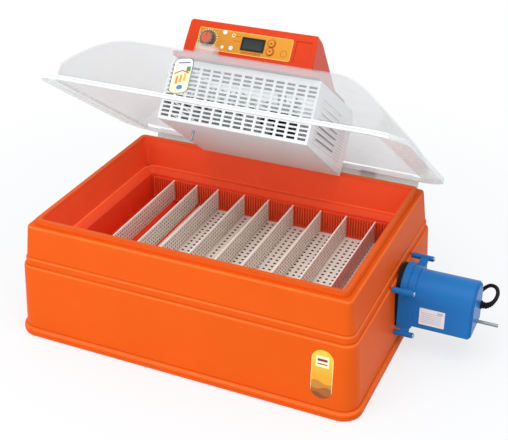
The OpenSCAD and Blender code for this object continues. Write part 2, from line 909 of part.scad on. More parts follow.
module control_housing() {
    f = -unit_v;
    color("#f4501e")
        on_lid()
            difference() {
                union() {
                    unit_body(0);
                    translate([-unit_hw - 17, f - 6, dome_height])
                        cube([unit_width + 34, 190, 6]);
                    translate([-unit_hw - 17, f - 5, dome_height])
                        cube([unit_width + 34, 14, 9]);
                }
                difference() {
                    unit_body(3);
                    for (sx = [-1, 1], dz = [-14, 14])
                        rod_along_y(f - 1, f + 16, sx * 88, panel_w + dz, 7);
                }
                // bare recessed field at the right of the panel
                translate([90, f - 1, panel_w - 20])
                    cube([30, 2.5, 40]);
                translate([window_u - 21.5, f - 5, panel_w - 11])
                    cube([43, 12, 22]);
                rod_along_y(f - 5, f + 10, dial_u, panel_w, 6.1);
                for (dz = [-1, 1])
                    rod_along_y(f - 5, f + 10, button_u, panel_w + dz * button_gap / 2, button_diameter - 3.4);
                for (p = lamp_list)
                    rod_along_y(f - 5, f + 10, p[0], panel_w + p[1], 6);
                for (sx = [-1, 1], dy = [20, 170])
                    translate([sx * (unit_hw + 10), f + dy, dome_height - 1])
                        cylinder(h = 30, d = 3.4);
                // inlet opening in the left side
                translate([-unit_hw - 10, f + 60, dome_height + 10])
                    cube([14, 24, 16]);
            }
}

module panel_overlay() {
    f = -unit_v;
    color("#f0a53c")
        on_lid()
            translate([0, f - 0.02, 0])
                rotate([90, 0, 0])
                    linear_extrude(height = 0.7)
                        difference() {
                            translate([-11, panel_w])
                                outline(190, 42, 4);
                            translate([window_u, panel_w])
                                square([43, 22], center = true);
                            translate([dial_u, panel_w])
                                circle(d = 7);
                            for (dz = [-1, 1])
                                translate([button_u, panel_w + dz * button_gap / 2])
                                    circle(d = button_diameter + 0.6);
                            for (p = lamp_list)
                                translate([p[0], panel_w + p[1]])
                                    circle(d = 6);
                        }
}

module display_window() {
    f = -unit_v;
    color("#20262a")
        on_lid()
            union() {
                translate([window_u - 23, f - 2.2, panel_w - 12.5])
                    cube([46, 1.45, 25]);
                translate([window_u - 21.3, f - 1.2, panel_w - 10.8])
                    cube([42.6, 6.2, 21.6]);
            }
}

module indicator_lamps() {
    f = -unit_v;
    color("#f7f7f2")
        on_lid()
            for (p = lamp_list) {
                rod_along_y(f - 1.8, f - 0.74, p[0], panel_w + p[1], 9);
                rod_along_y(f - 1, f + 4.5, p[0], panel_w + p[1], 5.8);
            }
}

module dial_knob() {
    f = -unit_v;
    r = dial_diameter / 2;
    color("#3a3431")
        on_lid()
            difference() {
                union() {
                    rod_along_y(f - 4, f - 0.9, dial_u, panel_w, dial_diameter);
                    rod_along_y(f - 11, f - 3, dial_u, panel_w, dial_diameter - 6);
                    rod_along_y(f - 2, f + 12, dial_u, panel_w, 6);
                    for (a = [0:30:330])
                        translate([dial_u, 0, panel_w])
                            rotate([0, a, 0])
                                rod_along_y(f - 11, f - 3, r - 3, 0, 2.4);
                }
                // pointer groove
                translate([dial_u - 0.8, f - 12, panel_w + 2])
                    cube([1.6, 2, r]);
            }
}

module button(side) {
    f = -unit_v;
    z = panel_w + side * button_gap / 2;
    color("#f0a53c")
        on_lid()
            union() {
                rod_along_y(f - 3.2, f - 2, button_u, z, button_diameter);
                rod_along_y(f - 2.4, f + 14, button_u, z, button_diameter - 4);
                rod_along_y(f + 4.5, f + 6, button_u, z, button_diameter - 1);
            }
}

module button_up() {
    button(1);
}

module button_down() {
    button(-1);
}

module circuit_board() {
    f = -unit_v;
    color("#2f6b45")
        on_lid()
            union() {
                translate([-110, f + 16.05, panel_w - 22])
                    cube([206, 1.6, 44]);
                translate([-60, f + 17, panel_w - 10])
                    cube([30, 8, 20]);
                translate([52, f + 17, panel_w - 12])
                    cube([22, 14, 18]);
                rod_along_y(f + 17, f + 30, 20, panel_w, 10);
            }
}

module control_screws() {
    f = -unit_v;
    color("#9aa0a6")
        on_lid()
            for (sx = [-1, 1], dy = [20, 170])
                translate([sx * (unit_hw + 10), f + dy, 0]) {
                    translate([0, 0, dome_height + 6])
                        cylinder(h = 2.4, d = 7.5);
                    translate([0, 0, dome_height + 0.2])
                        cylinder(h = 7, d = 3.2);
                }
}

module power_inlet() {
    f = -unit_v;
    color("#151517")
        on_lid()
            difference() {
                union() {
                    translate([-unit_hw - 9, f + 60.2, dome_height + 10.2])
                        cube([16, 23.6, 15.6]);
                    translate([-unit_hw - 9, f + 57, dome_height + 7])
                        cube([5.6, 30, 22]);
                }
                translate([-unit_hw - 10, f + 63, dome_height + 13])
                    cube([12, 18, 10]);
            }
}

// heater and fan box hanging under the control unit

module grille_box() {
    columns = 14;
    rows = 13;
    col_step = 21.4;
    row_step = 8;
    t = 2.4;
    module side(d) {
        polygon([
            [-box_front + d, -15 + d], [-box_front + d, dome_height - dome_wall - 0.02 + (d > 0 ? 5 : 0)],
            [-box_back - 14, dome_height - dome_wall - 0.02 + (d > 0 ? 5 : 0)], [-box_back - d, dome_height - 20],
            [-box_back - d, -27 + d]
        ]);
    }
    color("#e9ecec")
        on_lid()
            difference() {
                along_x(2 * box_hw)
                    side(0);
                along_x(2 * box_hw - 2 * t)
                    side(t);
                // slots in the front
                along_y(-box_front - 1, -box_front + t + 1)
                    union() {
                        for (c = [0:columns - 1], r = [0:rows - 1])
                            translate([(c - (columns - 1) / 2) * col_step, -6 + r * row_step])
                                square([16, 4.6], center = true);
                    }
                // slits in both sides
                for (r = [0:6])
                    translate([-box_hw - 5, -box_front + 40, 4 + r * 12])
                        cube([2 * box_hw + 10, 120, 3]);
                // passage for the probe
                translate([-100, -box_front + 60, -40])
                    cylinder(h = 60, d = 6.2);
            }
}

fan_u = 84;
fan_w = 34;
fan_v = box_front - 12;

module fan_motor() {
    color("#26282b")
        on_lid()
            difference() {
                union() {
                    rod_along_y(-fan_v + 18, -fan_v + 58, fan_u, fan_w, 44);
                    rod_along_y(-fan_v + 2, -fan_v + 20, fan_u, fan_w, 5);
                    // foot down to the box floor
                    along_y(-fan_v + 26, -fan_v + 50)
                        polygon([[fan_u - 26, -22], [fan_u + 26, -22], [fan_u + 16, fan_w], [fan_u - 16, fan_w]]);
                }
                along_x(2 * box_hw)
                    polygon([
                        [-box_front + 2.4, -12.58], [-box_back - 2.4, -24.58], [-box_back - 2.4, -60],
                        [-box_front + 2.4, -60]
                    ]);
            }
}

module fan_impeller() {
    color("#17181a")
        on_lid()
            difference() {
                union() {
                    rod_along_y(-fan_v + 3, -fan_v + 15, fan_u, fan_w, 26);
                    for (a = [0:51.43:359])
                        translate([fan_u, -fan_v + 9, fan_w])
                            rotate([0, a, 0])
                                translate([10, 0, 0])
                                    rotate([35, 0, 0])
                                        translate([0, -0.8, -8])
                                            cube([32, 1.6, 16]);
                }
                rod_along_y(-fan_v - 4, -fan_v + 30, fan_u, fan_w, 5.1);
            }
}

module heater_element() {
    color("#3b3d40")
        on_lid()
            union() {
                for (dz = [0, 24])
                    rod_x(-box_hw + 2.4, 20, -box_front + 22, 30 + dz, 9);
                rod_x(18, 26, -box_front + 22, 30, 9);
                rod_x(18, 26, -box_front + 22, 54, 9);
                translate([22, -box_front + 22, 30])
                    cylinder(h = 24, d = 9);
                for (k = [0:10])
                    translate([-box_hw + 12 + k * 14, -box_front + 14, 22])
                        cube([1.6, 16, 40]);
            }
}

module temperature_probe() {
    color("#c3c8cc")
        on_lid()
            translate([-100, -box_front + 60, 0])
                union() {
                    translate([0, 0, -34])
                        cylinder(h = 40, d = 6);
                    translate([0, 0, -34])
                        sphere(d = 6);
                    translate([0, 0, -12.6])
                        cylinder(h = 3, d = 12);
                }
}

module hinge_arm(side) {
    color("#c7ccd1")
        translate([side * arm_x, 0, 0])
            on_lid()
                translate([0, -rear_y, -sh])
                    difference() {
                        union() {
                            along_x(34)
                                union() {
                                    translate([rear_y + 0.05, hinge_z])
                                        square([4, sh + 8 - hinge_z]);
                                    translate([hinge_y, hinge_z])
                                        circle(r = 6);
                                    translate([rear_y - 2.9, sh + 8.55])
                                        square([7, 2]);
                                    translate([rear_y + 0.05, sh + 6])
                                        square([4, 4.5]);
                                }
                        }
                        rod_x(-40, 40, hinge_y, hinge_z, 5.12);
                    }
}

module hinge_arm_left() {
    hinge_arm(-1);
}

module hinge_arm_right() {
    hinge_arm(1);
}

outer_case();
inner_tub();
comb_front();
comb_back();
divider_1();
divider_2();
divider_3();
divider_4();
divider_5();
divider_6();
divider_7();
divider_8();
divider_9();
hinge_bracket_left();
hinge_bracket_right();
hinge_pin_left();
hinge_pin_right();
hinge_screws();
front_label();
turner_gasket();
turner_housing();
turner_screws();
turner_gearmotor();
motor_label();
cord_gland();
motor_cord();
cord_coil();
cord_tie();
mains_plug();
floor_grid();
floor_tab();
drive_bracket();
push_rod();
drive_pinion();
lid_shell();
lid_label();
filler_hopper();
control_housing();
panel_overlay();
display_window();
indicator_lamps();
dial_knob();
button_up();
button_down();
circuit_board();
control_screws();
power_inlet();
grille_box();
fan_motor();
fan_impeller();
heater_element();
temperature_probe();
hinge_arm_left();
hinge_arm_right();
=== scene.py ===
"""Egg incubator with its lid open: finishes, mains lead, printed plates and a studio stage."""

import math

import bpy
from mathutils import Matrix, Vector


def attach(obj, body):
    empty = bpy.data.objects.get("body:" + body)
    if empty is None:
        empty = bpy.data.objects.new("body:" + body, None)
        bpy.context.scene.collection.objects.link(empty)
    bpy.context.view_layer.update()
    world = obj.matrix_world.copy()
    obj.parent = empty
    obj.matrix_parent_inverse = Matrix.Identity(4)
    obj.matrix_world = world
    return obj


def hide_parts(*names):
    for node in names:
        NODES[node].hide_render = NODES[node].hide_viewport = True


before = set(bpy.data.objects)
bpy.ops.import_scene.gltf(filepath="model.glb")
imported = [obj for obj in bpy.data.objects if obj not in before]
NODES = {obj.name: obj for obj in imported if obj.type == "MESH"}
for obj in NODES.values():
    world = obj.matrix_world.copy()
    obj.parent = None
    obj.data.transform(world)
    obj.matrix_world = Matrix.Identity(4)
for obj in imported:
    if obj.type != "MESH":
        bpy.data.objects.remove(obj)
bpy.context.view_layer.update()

bl_info = {
    "name": "Egg incubator",
    "version": (1, 0, 0),
    "blender": (4, 5, 0),
    "location": "View3D > Sidebar > Incubator",
    "description": "Finishes and details of a table-top egg incubator",
    "category": "Object",
}

# Millimetres in a metre: sizes below are in millimetres unless a comment says otherwise
MM = 1000.0

# Base: half sizes, heights, and the bands of its case that carry a painted highlight or painted shade as
# height and half width
HALF_WIDTH = 320.0
HALF_DEPTH = 219.0
SHOULDER = 233.0
RIM_INSIDE = 19.8
LEDGE = 183.6
DIVIDER_TOP = 169.0
DIVIDER_EDGE = 167.0
# The first bands carry a painted highlight along the step corners, the second painted shade in the grooves
CASE_HIGHLIGHT_BANDS = ((16.9, 1.5), (151.2, 1.4), (166.8, 1.3), (231.0, 1.7))
CASE_GROOVE_SHADE_BANDS = ((10.0, 0.8), (20.0, 1.1), (154.2, 0.9), (170.2, 0.9))

# Lid, in its own frame: u across, v forward from the rear edge, w above the rim
LID_ANGLE = math.radians(35.5)
HINGE = Vector((0.0, HALF_DEPTH + 13.0, SHOULDER - 51.0))
HINGE_X = 190.0
HINGE_SCREWS = ((241.3, 105.0), (239.29, 140.0))
LID_REAR = HALF_DEPTH + 6.5
LID_UP = Vector((0.0, math.sin(LID_ANGLE), math.cos(LID_ANGLE)))
LID_FORWARD = Vector((0.0, -math.cos(LID_ANGLE), math.sin(LID_ANGLE)))
LID_DEPTH = 444.5
LIP_HEIGHT = 9.0
DOME_HEIGHT = 107.0
DOME_LEAN = math.atan(48.0 / (DOME_HEIGHT * 0.91))
MILKY_HEIGHT = 75.0
MILKY_DEPTH = 130.0

# Control unit on the lid, with the places on its panel as u and height over the panel's middle
UNIT_V = 312.8
UNIT_SCREW_U = 139.0
UNIT_SCREW_BACK = (20.0, 170.0)
PANEL_W = 149.0
DIAL_U = -85.0
KEYS_U = 43.0
KEY_RISE = 7.75
LAMPS = ((-53.0, 16.0), (-35.0, -12.0))
LAMP_SIGN = (-35.0, 13.0)
WATER_SIGN = (-53.0, -12.0)
RIGHT_SIGN = (70.0, -8.0)

# Turning drive on the right side
DRIVE_X = 344.0
DRIVE_END = 482.0
DRIVE_Y = 36.0
DRIVE_Z = 120.0
BOSSES = ((-66.0, 31.0), (66.0, 31.0), (-49.0, -72.0), (49.0, -72.0))

# Middles of the printed plates: x and z, x and z, then u and the way up the dome's sloped front
FRONT_PLATE = (280.0, 87.0)
DRIVE_PLATE = (DRIVE_X + 64.0, DRIVE_Z - 29.0)
LID_PLATE = (-69.0, 56.0)
LID_PLATE_TURN = math.radians(13.0)

# Route of the mains lead from the drive to its coil, the same points as in the part's source
CORD_Y = 66.0
CORD_Z = 98.0
CORD_IN_GLAND = 6.0
LEAD_ROUTE = (
    (DRIVE_END + 9, CORD_Y, CORD_Z),
    (DRIVE_END + 17, CORD_Y + 1.5, CORD_Z + 4),
    (DRIVE_END + 24, CORD_Y + 7.5, CORD_Z + 12),
    (DRIVE_END + 26, CORD_Y + 16, CORD_Z + 21),
    (DRIVE_END + 22, CORD_Y + 25, CORD_Z + 26),
    (DRIVE_END + 14, CORD_Y + 32, CORD_Z + 26),
    (DRIVE_END + 4, CORD_Y + 38, CORD_Z + 20),
    (DRIVE_END - 8, CORD_Y + 41, CORD_Z + 5),
    (DRIVE_END - 19, CORD_Y + 43, CORD_Z - 17),
    (DRIVE_END - 29, CORD_Y + 46, CORD_Z - 43),
    (DRIVE_END - 38, CORD_Y + 51, 29),
    (DRIVE_END - 48, CORD_Y + 61, 11.5),
    (DRIVE_END - 59, CORD_Y + 80, 5.2),
    (DRIVE_END - 74, CORD_Y + 112, 4.6),
    (DRIVE_END - 94, CORD_Y + 150, 4.6),
    (DRIVE_END - 118, HALF_DEPTH + 32, 4.6),
    (DRIVE_END - 146, HALF_DEPTH + 54, 4.8),
    (DRIVE_END - 178, HALF_DEPTH + 63, 5.2),
    (DRIVE_END - 206, HALF_DEPTH + 64, 5.4),
    (DRIVE_END - 238, HALF_DEPTH + 63.8, 5.4),
)
ROUTE_STEPS = 4

# Stored coil: one and a half turns in each layer, then a tail to the plug as run and share of the drop
COIL_CENTRE = (DRIVE_END - 278, HALF_DEPTH + 105)
COIL_RADIUS = 41.5
COIL_STEP = 9.4
COIL_LIFT = 8.4
COIL_FLOOR = 5.4
COIL_TURNS = 5.0
COIL_STEPS = 48
LAYER_TURNS = 1.5
COIL_LEAD_IN = 7.5
COIL_TAIL = ((7.5, 0), (20, 0), (32, 0.03), (48, 0.26), (64, 0.66), (80, 0.93), (93, 1), (104, 1))

# Plug, measured back from the end of the lead
PLUG_Z = 7
PLUG_MIDDLE = 32.0
PLUG_SIZE = (28.0, 35.0, 13.6)
PINS_FROM = 46.0
PIN_SIDE = 9.5

# The photograph's camera, solved from the base's corners for a frame 508 pixels wide, in metres
FRAME_WIDTH = 508
FOCAL_PIXELS = 1042.75
SENSOR = 36.0
CAMERA_PLACE = (0.75466, -1.58691, 1.19375)
CAMERA_RIGHT = Vector((0.913867, 0.406007, -0.002056))
CAMERA_UP = Vector((-0.197643, 0.449283, 0.871250))

# Studio lamps: name, place and size in metres, share of the power that the sizes hold
LIGHTS = (
    ("key", (-1.5, -2.4, 2.3), 1.8, 0.4),
    ("fill", (2.6, -1.6, 1.5), 2.0, 0.4),
    ("front", (-1.0, -2.0, 0.4), 1.1, 0.62),
    ("top", (0.3, -0.9, 2.8), 2.4, 1.8),
)
LIGHTS_AIM = Vector((0, 0, 0.2))
SKY_STRENGTH = 0.72


def lid_point(u, v, w):
    """A point of the lid's frame, in millimetres of the base."""
    y = LID_REAR - HINGE.y - v
    z = SHOULDER - HINGE.z + w
    c = math.cos(LID_ANGLE)
    s = math.sin(LID_ANGLE)
    return Vector((u, HINGE.y + y * c + z * s, HINGE.z - y * s + z * c))


class Wire:
    """One output socket of a finish, on which plain arithmetic adds Math nodes."""

    def __init__(self, finish, socket):
        self.finish = finish
        self.socket = socket

    def math(self, operation, other=None, swap=False):
        """A Math node on this value and another, in that order or swapped."""
        values = {0: other, 1: self} if swap else {0: self}
        if other is not None and not swap:
            values[1] = other
        return self.finish.node("ShaderNodeMath", {"operation": operation}, values)

    def __add__(self, other):
        return self.math("ADD", other)

    __radd__ = __add__

    def __mul__(self, other):
        return self.math("MULTIPLY", other)

    __rmul__ = __mul__

    def __sub__(self, other):
        return self.math("SUBTRACT", other)

    def __rsub__(self, other):
        return self.math("SUBTRACT", other, swap=True)

    def __truediv__(self, other):
        return self.math("DIVIDE", other)

    def __lt__(self, other):
        return self.math("LESS_THAN", other)

    def __gt__(self, other):
        return self.math("GREATER_THAN", other)

    def __abs__(self):
        return self.math("ABSOLUTE")

    def __mod__(self, other):
        return self.math("FLOORED_MODULO", other)


class Finish:
    """A material and the nodes that its patterns need."""

    def __init__(self, name):
        self.material = bpy.data.materials.new(name)
        self.material.use_nodes = True
        self.tree = self.material.node_tree
        self.shader = self.tree.nodes["Principled BSDF"]
        self.coords = None

    def node(self, kind, settings=None, values=None, output=0):
        """A new node with its settings, and its sockets' values or links, as the wire of one output."""
        made = self.tree.nodes.new(kind)
        for key, value in (settings or {}).items():
            setattr(made, key, value)
        for key, value in (values or {}).items():
            self.feed(made.inputs[key], value)
        return Wire(self, made.outputs[output])

    def feed(self, socket, value):
        """Links a wire to a socket, or sets the socket to a number, vector or colour."""
        if isinstance(value, Wire):
            self.tree.links.new(value.socket, socket)
        elif isinstance(value, tuple) and len(value) == 3 and len(socket.default_value) == 4:
            socket.default_value = (*value, 1.0)
        else:
            socket.default_value = value

    def put(self, name, value):
        """Feeds a socket of the material's shader."""
        self.feed(self.shader.inputs[name], value)

    def place(self):
        """Object coordinates in metres."""
        if self.coords is None:
            self.coords = self.node("ShaderNodeTexCoord", output=3)
        return self.coords

    def placed(self, location=(0, 0, 0), rotation=(0, 0, 0), scale=(MM, MM, MM)):
        """Object coordinates scaled to millimetres, turned and moved."""
        return self.node(
            "ShaderNodeMapping",
            {"vector_type": "POINT"},
            {"Vector": self.place(), "Location": location, "Rotation": rotation, "Scale": scale},
        )

    def on_lid(self):
        """Coordinates of the lid's frame in millimetres: u, minus v, w."""
        turn = Matrix.Rotation(LID_ANGLE, 3, "X")
        move = HINGE - Vector((0, LID_REAR, SHOULDER)) - turn @ HINGE
        return self.split(self.placed(move, (LID_ANGLE, 0, 0)))

    def on_panel(self):
        """The lid's coordinates with the height counted from the middle of the control panel."""
        u, v, w = self.on_lid()
        return u, v, w - PANEL_W

    def split(self, vector):
        """The three coordinates of a vector."""
        parts = self.node("ShaderNodeSeparateXYZ", None, {0: vector}).socket.node.outputs
        return [Wire(self, part) for part in parts]

    def noise(self, scale, detail=3.0, vector=None, roughness=0.5):
        """Fractal noise from 0 to 1, on object coordinates unless a vector is given."""
        return self.node(
            "ShaderNodeTexNoise",
            None,
            {"Vector": vector or self.place(), "Scale": scale, "Detail": detail, "Roughness": roughness},
        )

    def blend(self, factor, first, second):
        """The first colour where the factor is 0, the second where it is 1."""
        return self.node("ShaderNodeMix", {"data_type": "RGBA"}, {0: factor, 6: first, 7: second}, output=2)

    def rise(self, value, start, end, low=0.0, high=1.0, shape="LINEAR"):
        """From low to high as a value goes from start to end, and level beyond them."""
        values = {"Value": value, 1: start, 2: end, 3: low, 4: high}
        return self.node("ShaderNodeMapRange", {"interpolation_type": shape}, values)

    def rough(self, scale, spread, least):
        """Uneven roughness: noise of a scale adds up to the spread to the least."""
        self.put("Roughness", self.noise(scale) * spread + least)

    def bump(self, height, strength, distance, edge):
        """Relief from a height, on edges that are softened by a radius in metres."""
        soft = self.node("ShaderNodeBevel", {"samples": 4}, {"Radius": edge})
        values = {"Height": height, "Strength": strength, "Distance": distance, "Normal": soft}
        self.put("Normal", self.node("ShaderNodeBump", None, values))

    def inside(self, value, middle, half):
        """1 where a coordinate lies within half of the middle, else 0."""
        return abs(value - middle) < half

    def bands(self, value, rows):
        """1 where a coordinate lies in one of several bands, each a middle and a half width, else 0."""
        total = 0.0
        for middle, half in rows:
            total = self.inside(value, middle, half) + total
        return total

    def dot(self, x, y, cx, cy, radius):
        """1 within a circle, else 0."""
        dx = x - cx
        dy = y - cy
        return dx * dx + dy * dy < radius * radius

    def ring(self, x, y, cx, cy, outer, inner):
        """1 between two circles, else 0."""
        return self.dot(x, y, cx, cy, outer) - self.dot(x, y, cx, cy, inner)

    def facing(self, axis):
        """How much a surface faces along an axis of the base, either way."""
        normal = self.node("ShaderNodeNewGeometry", output=1)
        return abs(self.split(normal)[axis])


def colour(hex_code):
    """Linear colour of a web colour code."""
    made = []
    for i in (0, 2, 4):
        c = int(hex_code[i:i + 2], 16) / 255
        made.append(c / 12.92 if c <= 0.04045 else ((c + 0.055) / 1.055) ** 2.4)
    return tuple(made)


def coat(finish, *names):
    """Gives nodes of the frame a finish."""
    for name in names:
        mesh = NODES[name].data
        mesh.materials.clear()
        mesh.materials.append(finish.material)


def moulded(name, base, rough=0.42, grain=0.12, edge=0.0012, fleck=0.06, change=None, gloss=0.14):
    """Injection moulded plastic with a fine grain, faint cloudiness and softened edges."""
    made = Finish(name)
    cloud = made.noise(14.0, 4.0)
    darker = tuple(c * (1 - fleck) for c in base)
    lighter = tuple(min(1.0, c * (1 + fleck * 0.7)) for c in base)
    tone = made.blend(cloud, darker, lighter)
    made.put("Base Color", change(made, tone) if change else tone)
    scuff = made.noise(95.0, 5.0, roughness=0.65)
    made.put("Roughness", scuff * 0.18 + (rough - 0.09))
    made.put("Specular IOR Level", gloss)
    made.bump(made.noise(1900.0, 2.0), grain, 0.0004, edge)
    return made


def rubber(name, code, rough, grain=0.2, edge=0.0004):
    """Black rubber or hard vinyl, a plastic with stronger flecks."""
    return moulded(name, colour(code), rough, grain, edge, 0.2)


def metal(name, code, rough=0.3, direction=(4.0, 260.0, 260.0)):
    """Drawn or plated metal with fine streaks along its length."""
    made = Finish(name)
    base = colour(code)
    streak = made.noise(1.0, 3.0, made.placed(scale=direction))
    made.put("Base Color", made.blend(streak, tuple(c * 0.8 for c in base), base))
    made.put("Metallic", 1.0)
    made.put("Roughness", streak * 0.2 + (rough - 0.08))
    made.bump(streak, 0.08, 0.0004, 0.0006)
    return made


class IncubatorColours(bpy.types.PropertyGroup):
    """Colours of the plastics that give the incubator its look."""

    case: bpy.props.FloatVectorProperty(
        name="Case", description="Colour of the outer case", default=colour("e25a12"), subtype="COLOR"
    )
    unit: bpy.props.FloatVectorProperty(
        name="Unit", description="Colour of the control unit", default=colour("d63c12"), subtype="COLOR"
    )
    tub: bpy.props.FloatVectorProperty(
        name="Tub", description="Colour of the inner tub", default=colour("f9562c"), subtype="COLOR"
    )
    drive: bpy.props.FloatVectorProperty(
        name="Drive", description="Colour of the turning drive", default=colour("2072ba"), subtype="COLOR"
    )
    divider: bpy.props.FloatVectorProperty(
        name="Dividers", description="Colour of the lane dividers", default=colour("faf3ea"), subtype="COLOR"
    )
    panel: bpy.props.FloatVectorProperty(
        name="Panel", description="Colour of the control panel", default=colour("de9630"), subtype="COLOR"
    )


class IncubatorSizes(bpy.types.PropertyGroup):
    """Sizes and strengths that the pieces and the stage share."""

    lead_diameter: bpy.props.FloatProperty(
        name="Lead", description="Diameter of the mains lead", default=0.0075, unit="LENGTH"
    )
    dome_alpha: bpy.props.FloatProperty(
        name="Dome", description="How much one dome surface hides", default=0.22, subtype="FACTOR"
    )
    paper_white: bpy.props.FloatProperty(
        name="Paper", description="How white the paper floor is seen", default=0.7, subtype="FACTOR"
    )
    key_power: bpy.props.FloatProperty(
        name="Lamps", description="Power that the studio lamps share", default=20.0, unit="POWER"
    )


def colours():
    """The colours that the scene holds."""
    return bpy.context.scene.incubator_colours


def sizes():
    """The sizes that the scene holds."""
    return bpy.context.scene.incubator_sizes


def deselect():
    """Ends edit mode and leaves nothing selected."""
    if bpy.context.mode != "OBJECT":
        bpy.ops.object.mode_set(mode="OBJECT")
    bpy.ops.object.select_all(action="DESELECT")


def only(obj):
    """Selects one object alone and makes it the active one."""
    deselect()
    obj.select_set(True)
    bpy.context.view_layer.objects.active = obj


def take(name):
    """The object just added, under its own name, with its place moved into its mesh."""
    made = bpy.context.object
    made.name = name
    bpy.ops.object.transform_apply(location=True, rotation=True, scale=True)
    return made


def discard(obj):
    """Removes an object and its mesh."""
    mesh = obj.data
    bpy.data.objects.remove(obj)
    bpy.data.meshes.remove(mesh)


def twin(obj):
    """A copy of an object with a mesh of its own."""
    made = obj.copy()
    made.data = obj.data.copy()
    bpy.context.scene.collection.objects.link(made)
    return made


def pick(obj, test):
    """Selects the faces whose normal passes a test, in edit mode."""
    bpy.ops.object.mode_set(mode="EDIT")
    bpy.ops.mesh.select_mode(type="FACE")
    bpy.ops.mesh.select_all(action="DESELECT")
    bpy.ops.object.mode_set(mode="OBJECT")
    for face in obj.data.polygons:
        face.select = test(face.normal)
    bpy.ops.object.mode_set(mode="EDIT")


def push(x):
    """Extrudes the selected faces along x by millimetres."""
    bpy.ops.mesh.extrude_region_move(TRANSFORM_OT_translate={"value": (x / MM, 0.0, 0.0)})


def merge(threshold):
    """Merges the active piece's doubles in edit mode and turns its faces outwards."""
    bpy.ops.mesh.select_all(action="SELECT")
    bpy.ops.mesh.remove_doubles(threshold=threshold)
    bpy.ops.mesh.normals_make_consistent(inside=False)


def smooth(degrees=35.0):
    """Ends edit mode and shades the active piece round between its hard edges."""
    bpy.ops.object.mode_set(mode="OBJECT")
    bpy.ops.object.shade_smooth_by_angle(angle=math.radians(degrees))


def stub(name, radius, height, rounding, segments, sides=32):
    """An upright cylinder on the origin with a rounded top, in millimetres, left in edit mode."""
    deselect()
    bpy.ops.mesh.primitive_cylinder_add(
        vertices=sides, radius=radius / MM, depth=height / MM, location=(0, 0, height / MM / 2)
    )
    made = take(name)
    pick(made, lambda normal: normal.z > 0.9)
    bpy.ops.mesh.bevel(offset=rounding / MM, segments=segments)
    return made


def inset_foot(obj, thickness):
    """Insets the underside of an upright piece by millimetres."""
    pick(obj, lambda normal: normal.z < -0.9)
    bpy.ops.mesh.inset(thickness=thickness / MM)


def tube(name, points, depth, resolution, radii=None):
    """A round tube with closed ends along points in metres, as a curve."""
    curve = bpy.data.curves.new(name, "CURVE")
    curve.dimensions = "3D"
    line = curve.splines.new("POLY")
    line.points.add(len(points) - 1)
    for i, place in enumerate(points):
        line.points[i].co = (*place, 1.0)
        if radii:
            line.points[i].radius = radii[i]
    curve.bevel_depth = depth
    curve.bevel_resolution = resolution
    curve.use_fill_caps = True
    made = bpy.data.objects.new(name, curve)
    bpy.context.scene.collection.objects.link(made)
    return made


def paint(obj, finish, body, slot, *replaced):
    """Gives a new piece its finish and the body it rides on, and hides the nodes that it stands for. The
    slot is not used.
    """
    obj.data.materials.clear()
    obj.data.materials.append(finish.material)
    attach(obj, body)
    if replaced:
        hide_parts(*replaced)


def scatter(pattern, name, places):
    """Copies of a piece modelled upright at the origin, each at a place and direction, joined into one."""
    made = []
    for place, direction in places:
        copy = twin(pattern)
        turn = Vector(direction).to_track_quat("Z", "Y").to_matrix().to_4x4()
        copy.matrix_world = Matrix.Translation(Vector(place) / MM) @ turn
        made.append(copy)
    discard(pattern)
    deselect()
    for copy in made:
        copy.select_set(True)
    bpy.context.view_layer.objects.active = made[0]
    bpy.ops.object.transform_apply(location=True, rotation=True, scale=True)
    bpy.ops.object.join()
    made[0].name = name
    return made[0]


def coil_at(turns):
    """A point of the coil after a number of turns."""
    layer = math.floor(turns / LAYER_TURNS)
    part = turns - LAYER_TURNS * layer
    loop = min(part, 1)
    radius = COIL_RADIUS - COIL_STEP * (loop if layer % 2 == 0 else 1 - loop)
    rise = (1 - math.cos(2 * math.pi * max(part - 1, 0))) / 2
    angle = math.radians(-90) - 2 * math.pi * turns
    x = COIL_CENTRE[0] + radius * math.cos(angle)
    y = COIL_CENTRE[1] + radius * math.sin(angle)
    return Vector((x, y, COIL_FLOOR + COIL_LIFT * (layer + rise)))


def curve_point(a, b, c, d, t):
    """A point between b and c on a smooth curve through four points."""
    square = 2 * a - 5 * b + 4 * c - d
    cube = 3 * b - a - 3 * c + d
    return (2 * b + (c - a) * t + square * t * t + cube * t ** 3) / 2


def lead_points():
    """The lead's centreline from the gland, along the floor, round the coil and to the plug, in metres."""
    ring = [coil_at(i / COIL_STEPS) for i in range(round(COIL_TURNS * COIL_STEPS) + 1)]
    start = ring[0] + Vector((COIL_LEAD_IN, 0, 0))
    keys = [Vector(p) for p in LEAD_ROUTE] + [start]
    points = [keys[0] - Vector((CORD_IN_GLAND, 0, 0))]
    for i in range(len(keys) - 1):
        before = keys[max(i - 1, 0)]
        after = keys[min(i + 2, len(keys) - 1)]
        for k in range(ROUTE_STEPS):
            points.append(curve_point(before, keys[i], keys[i + 1], after, k / ROUTE_STEPS))
    last = ring[-1]
    tail = [last + Vector((-x, 0, share * (PLUG_Z - last.z))) for x, share in COIL_TAIL]
    return [p / MM for p in points + [start] + ring + tail]


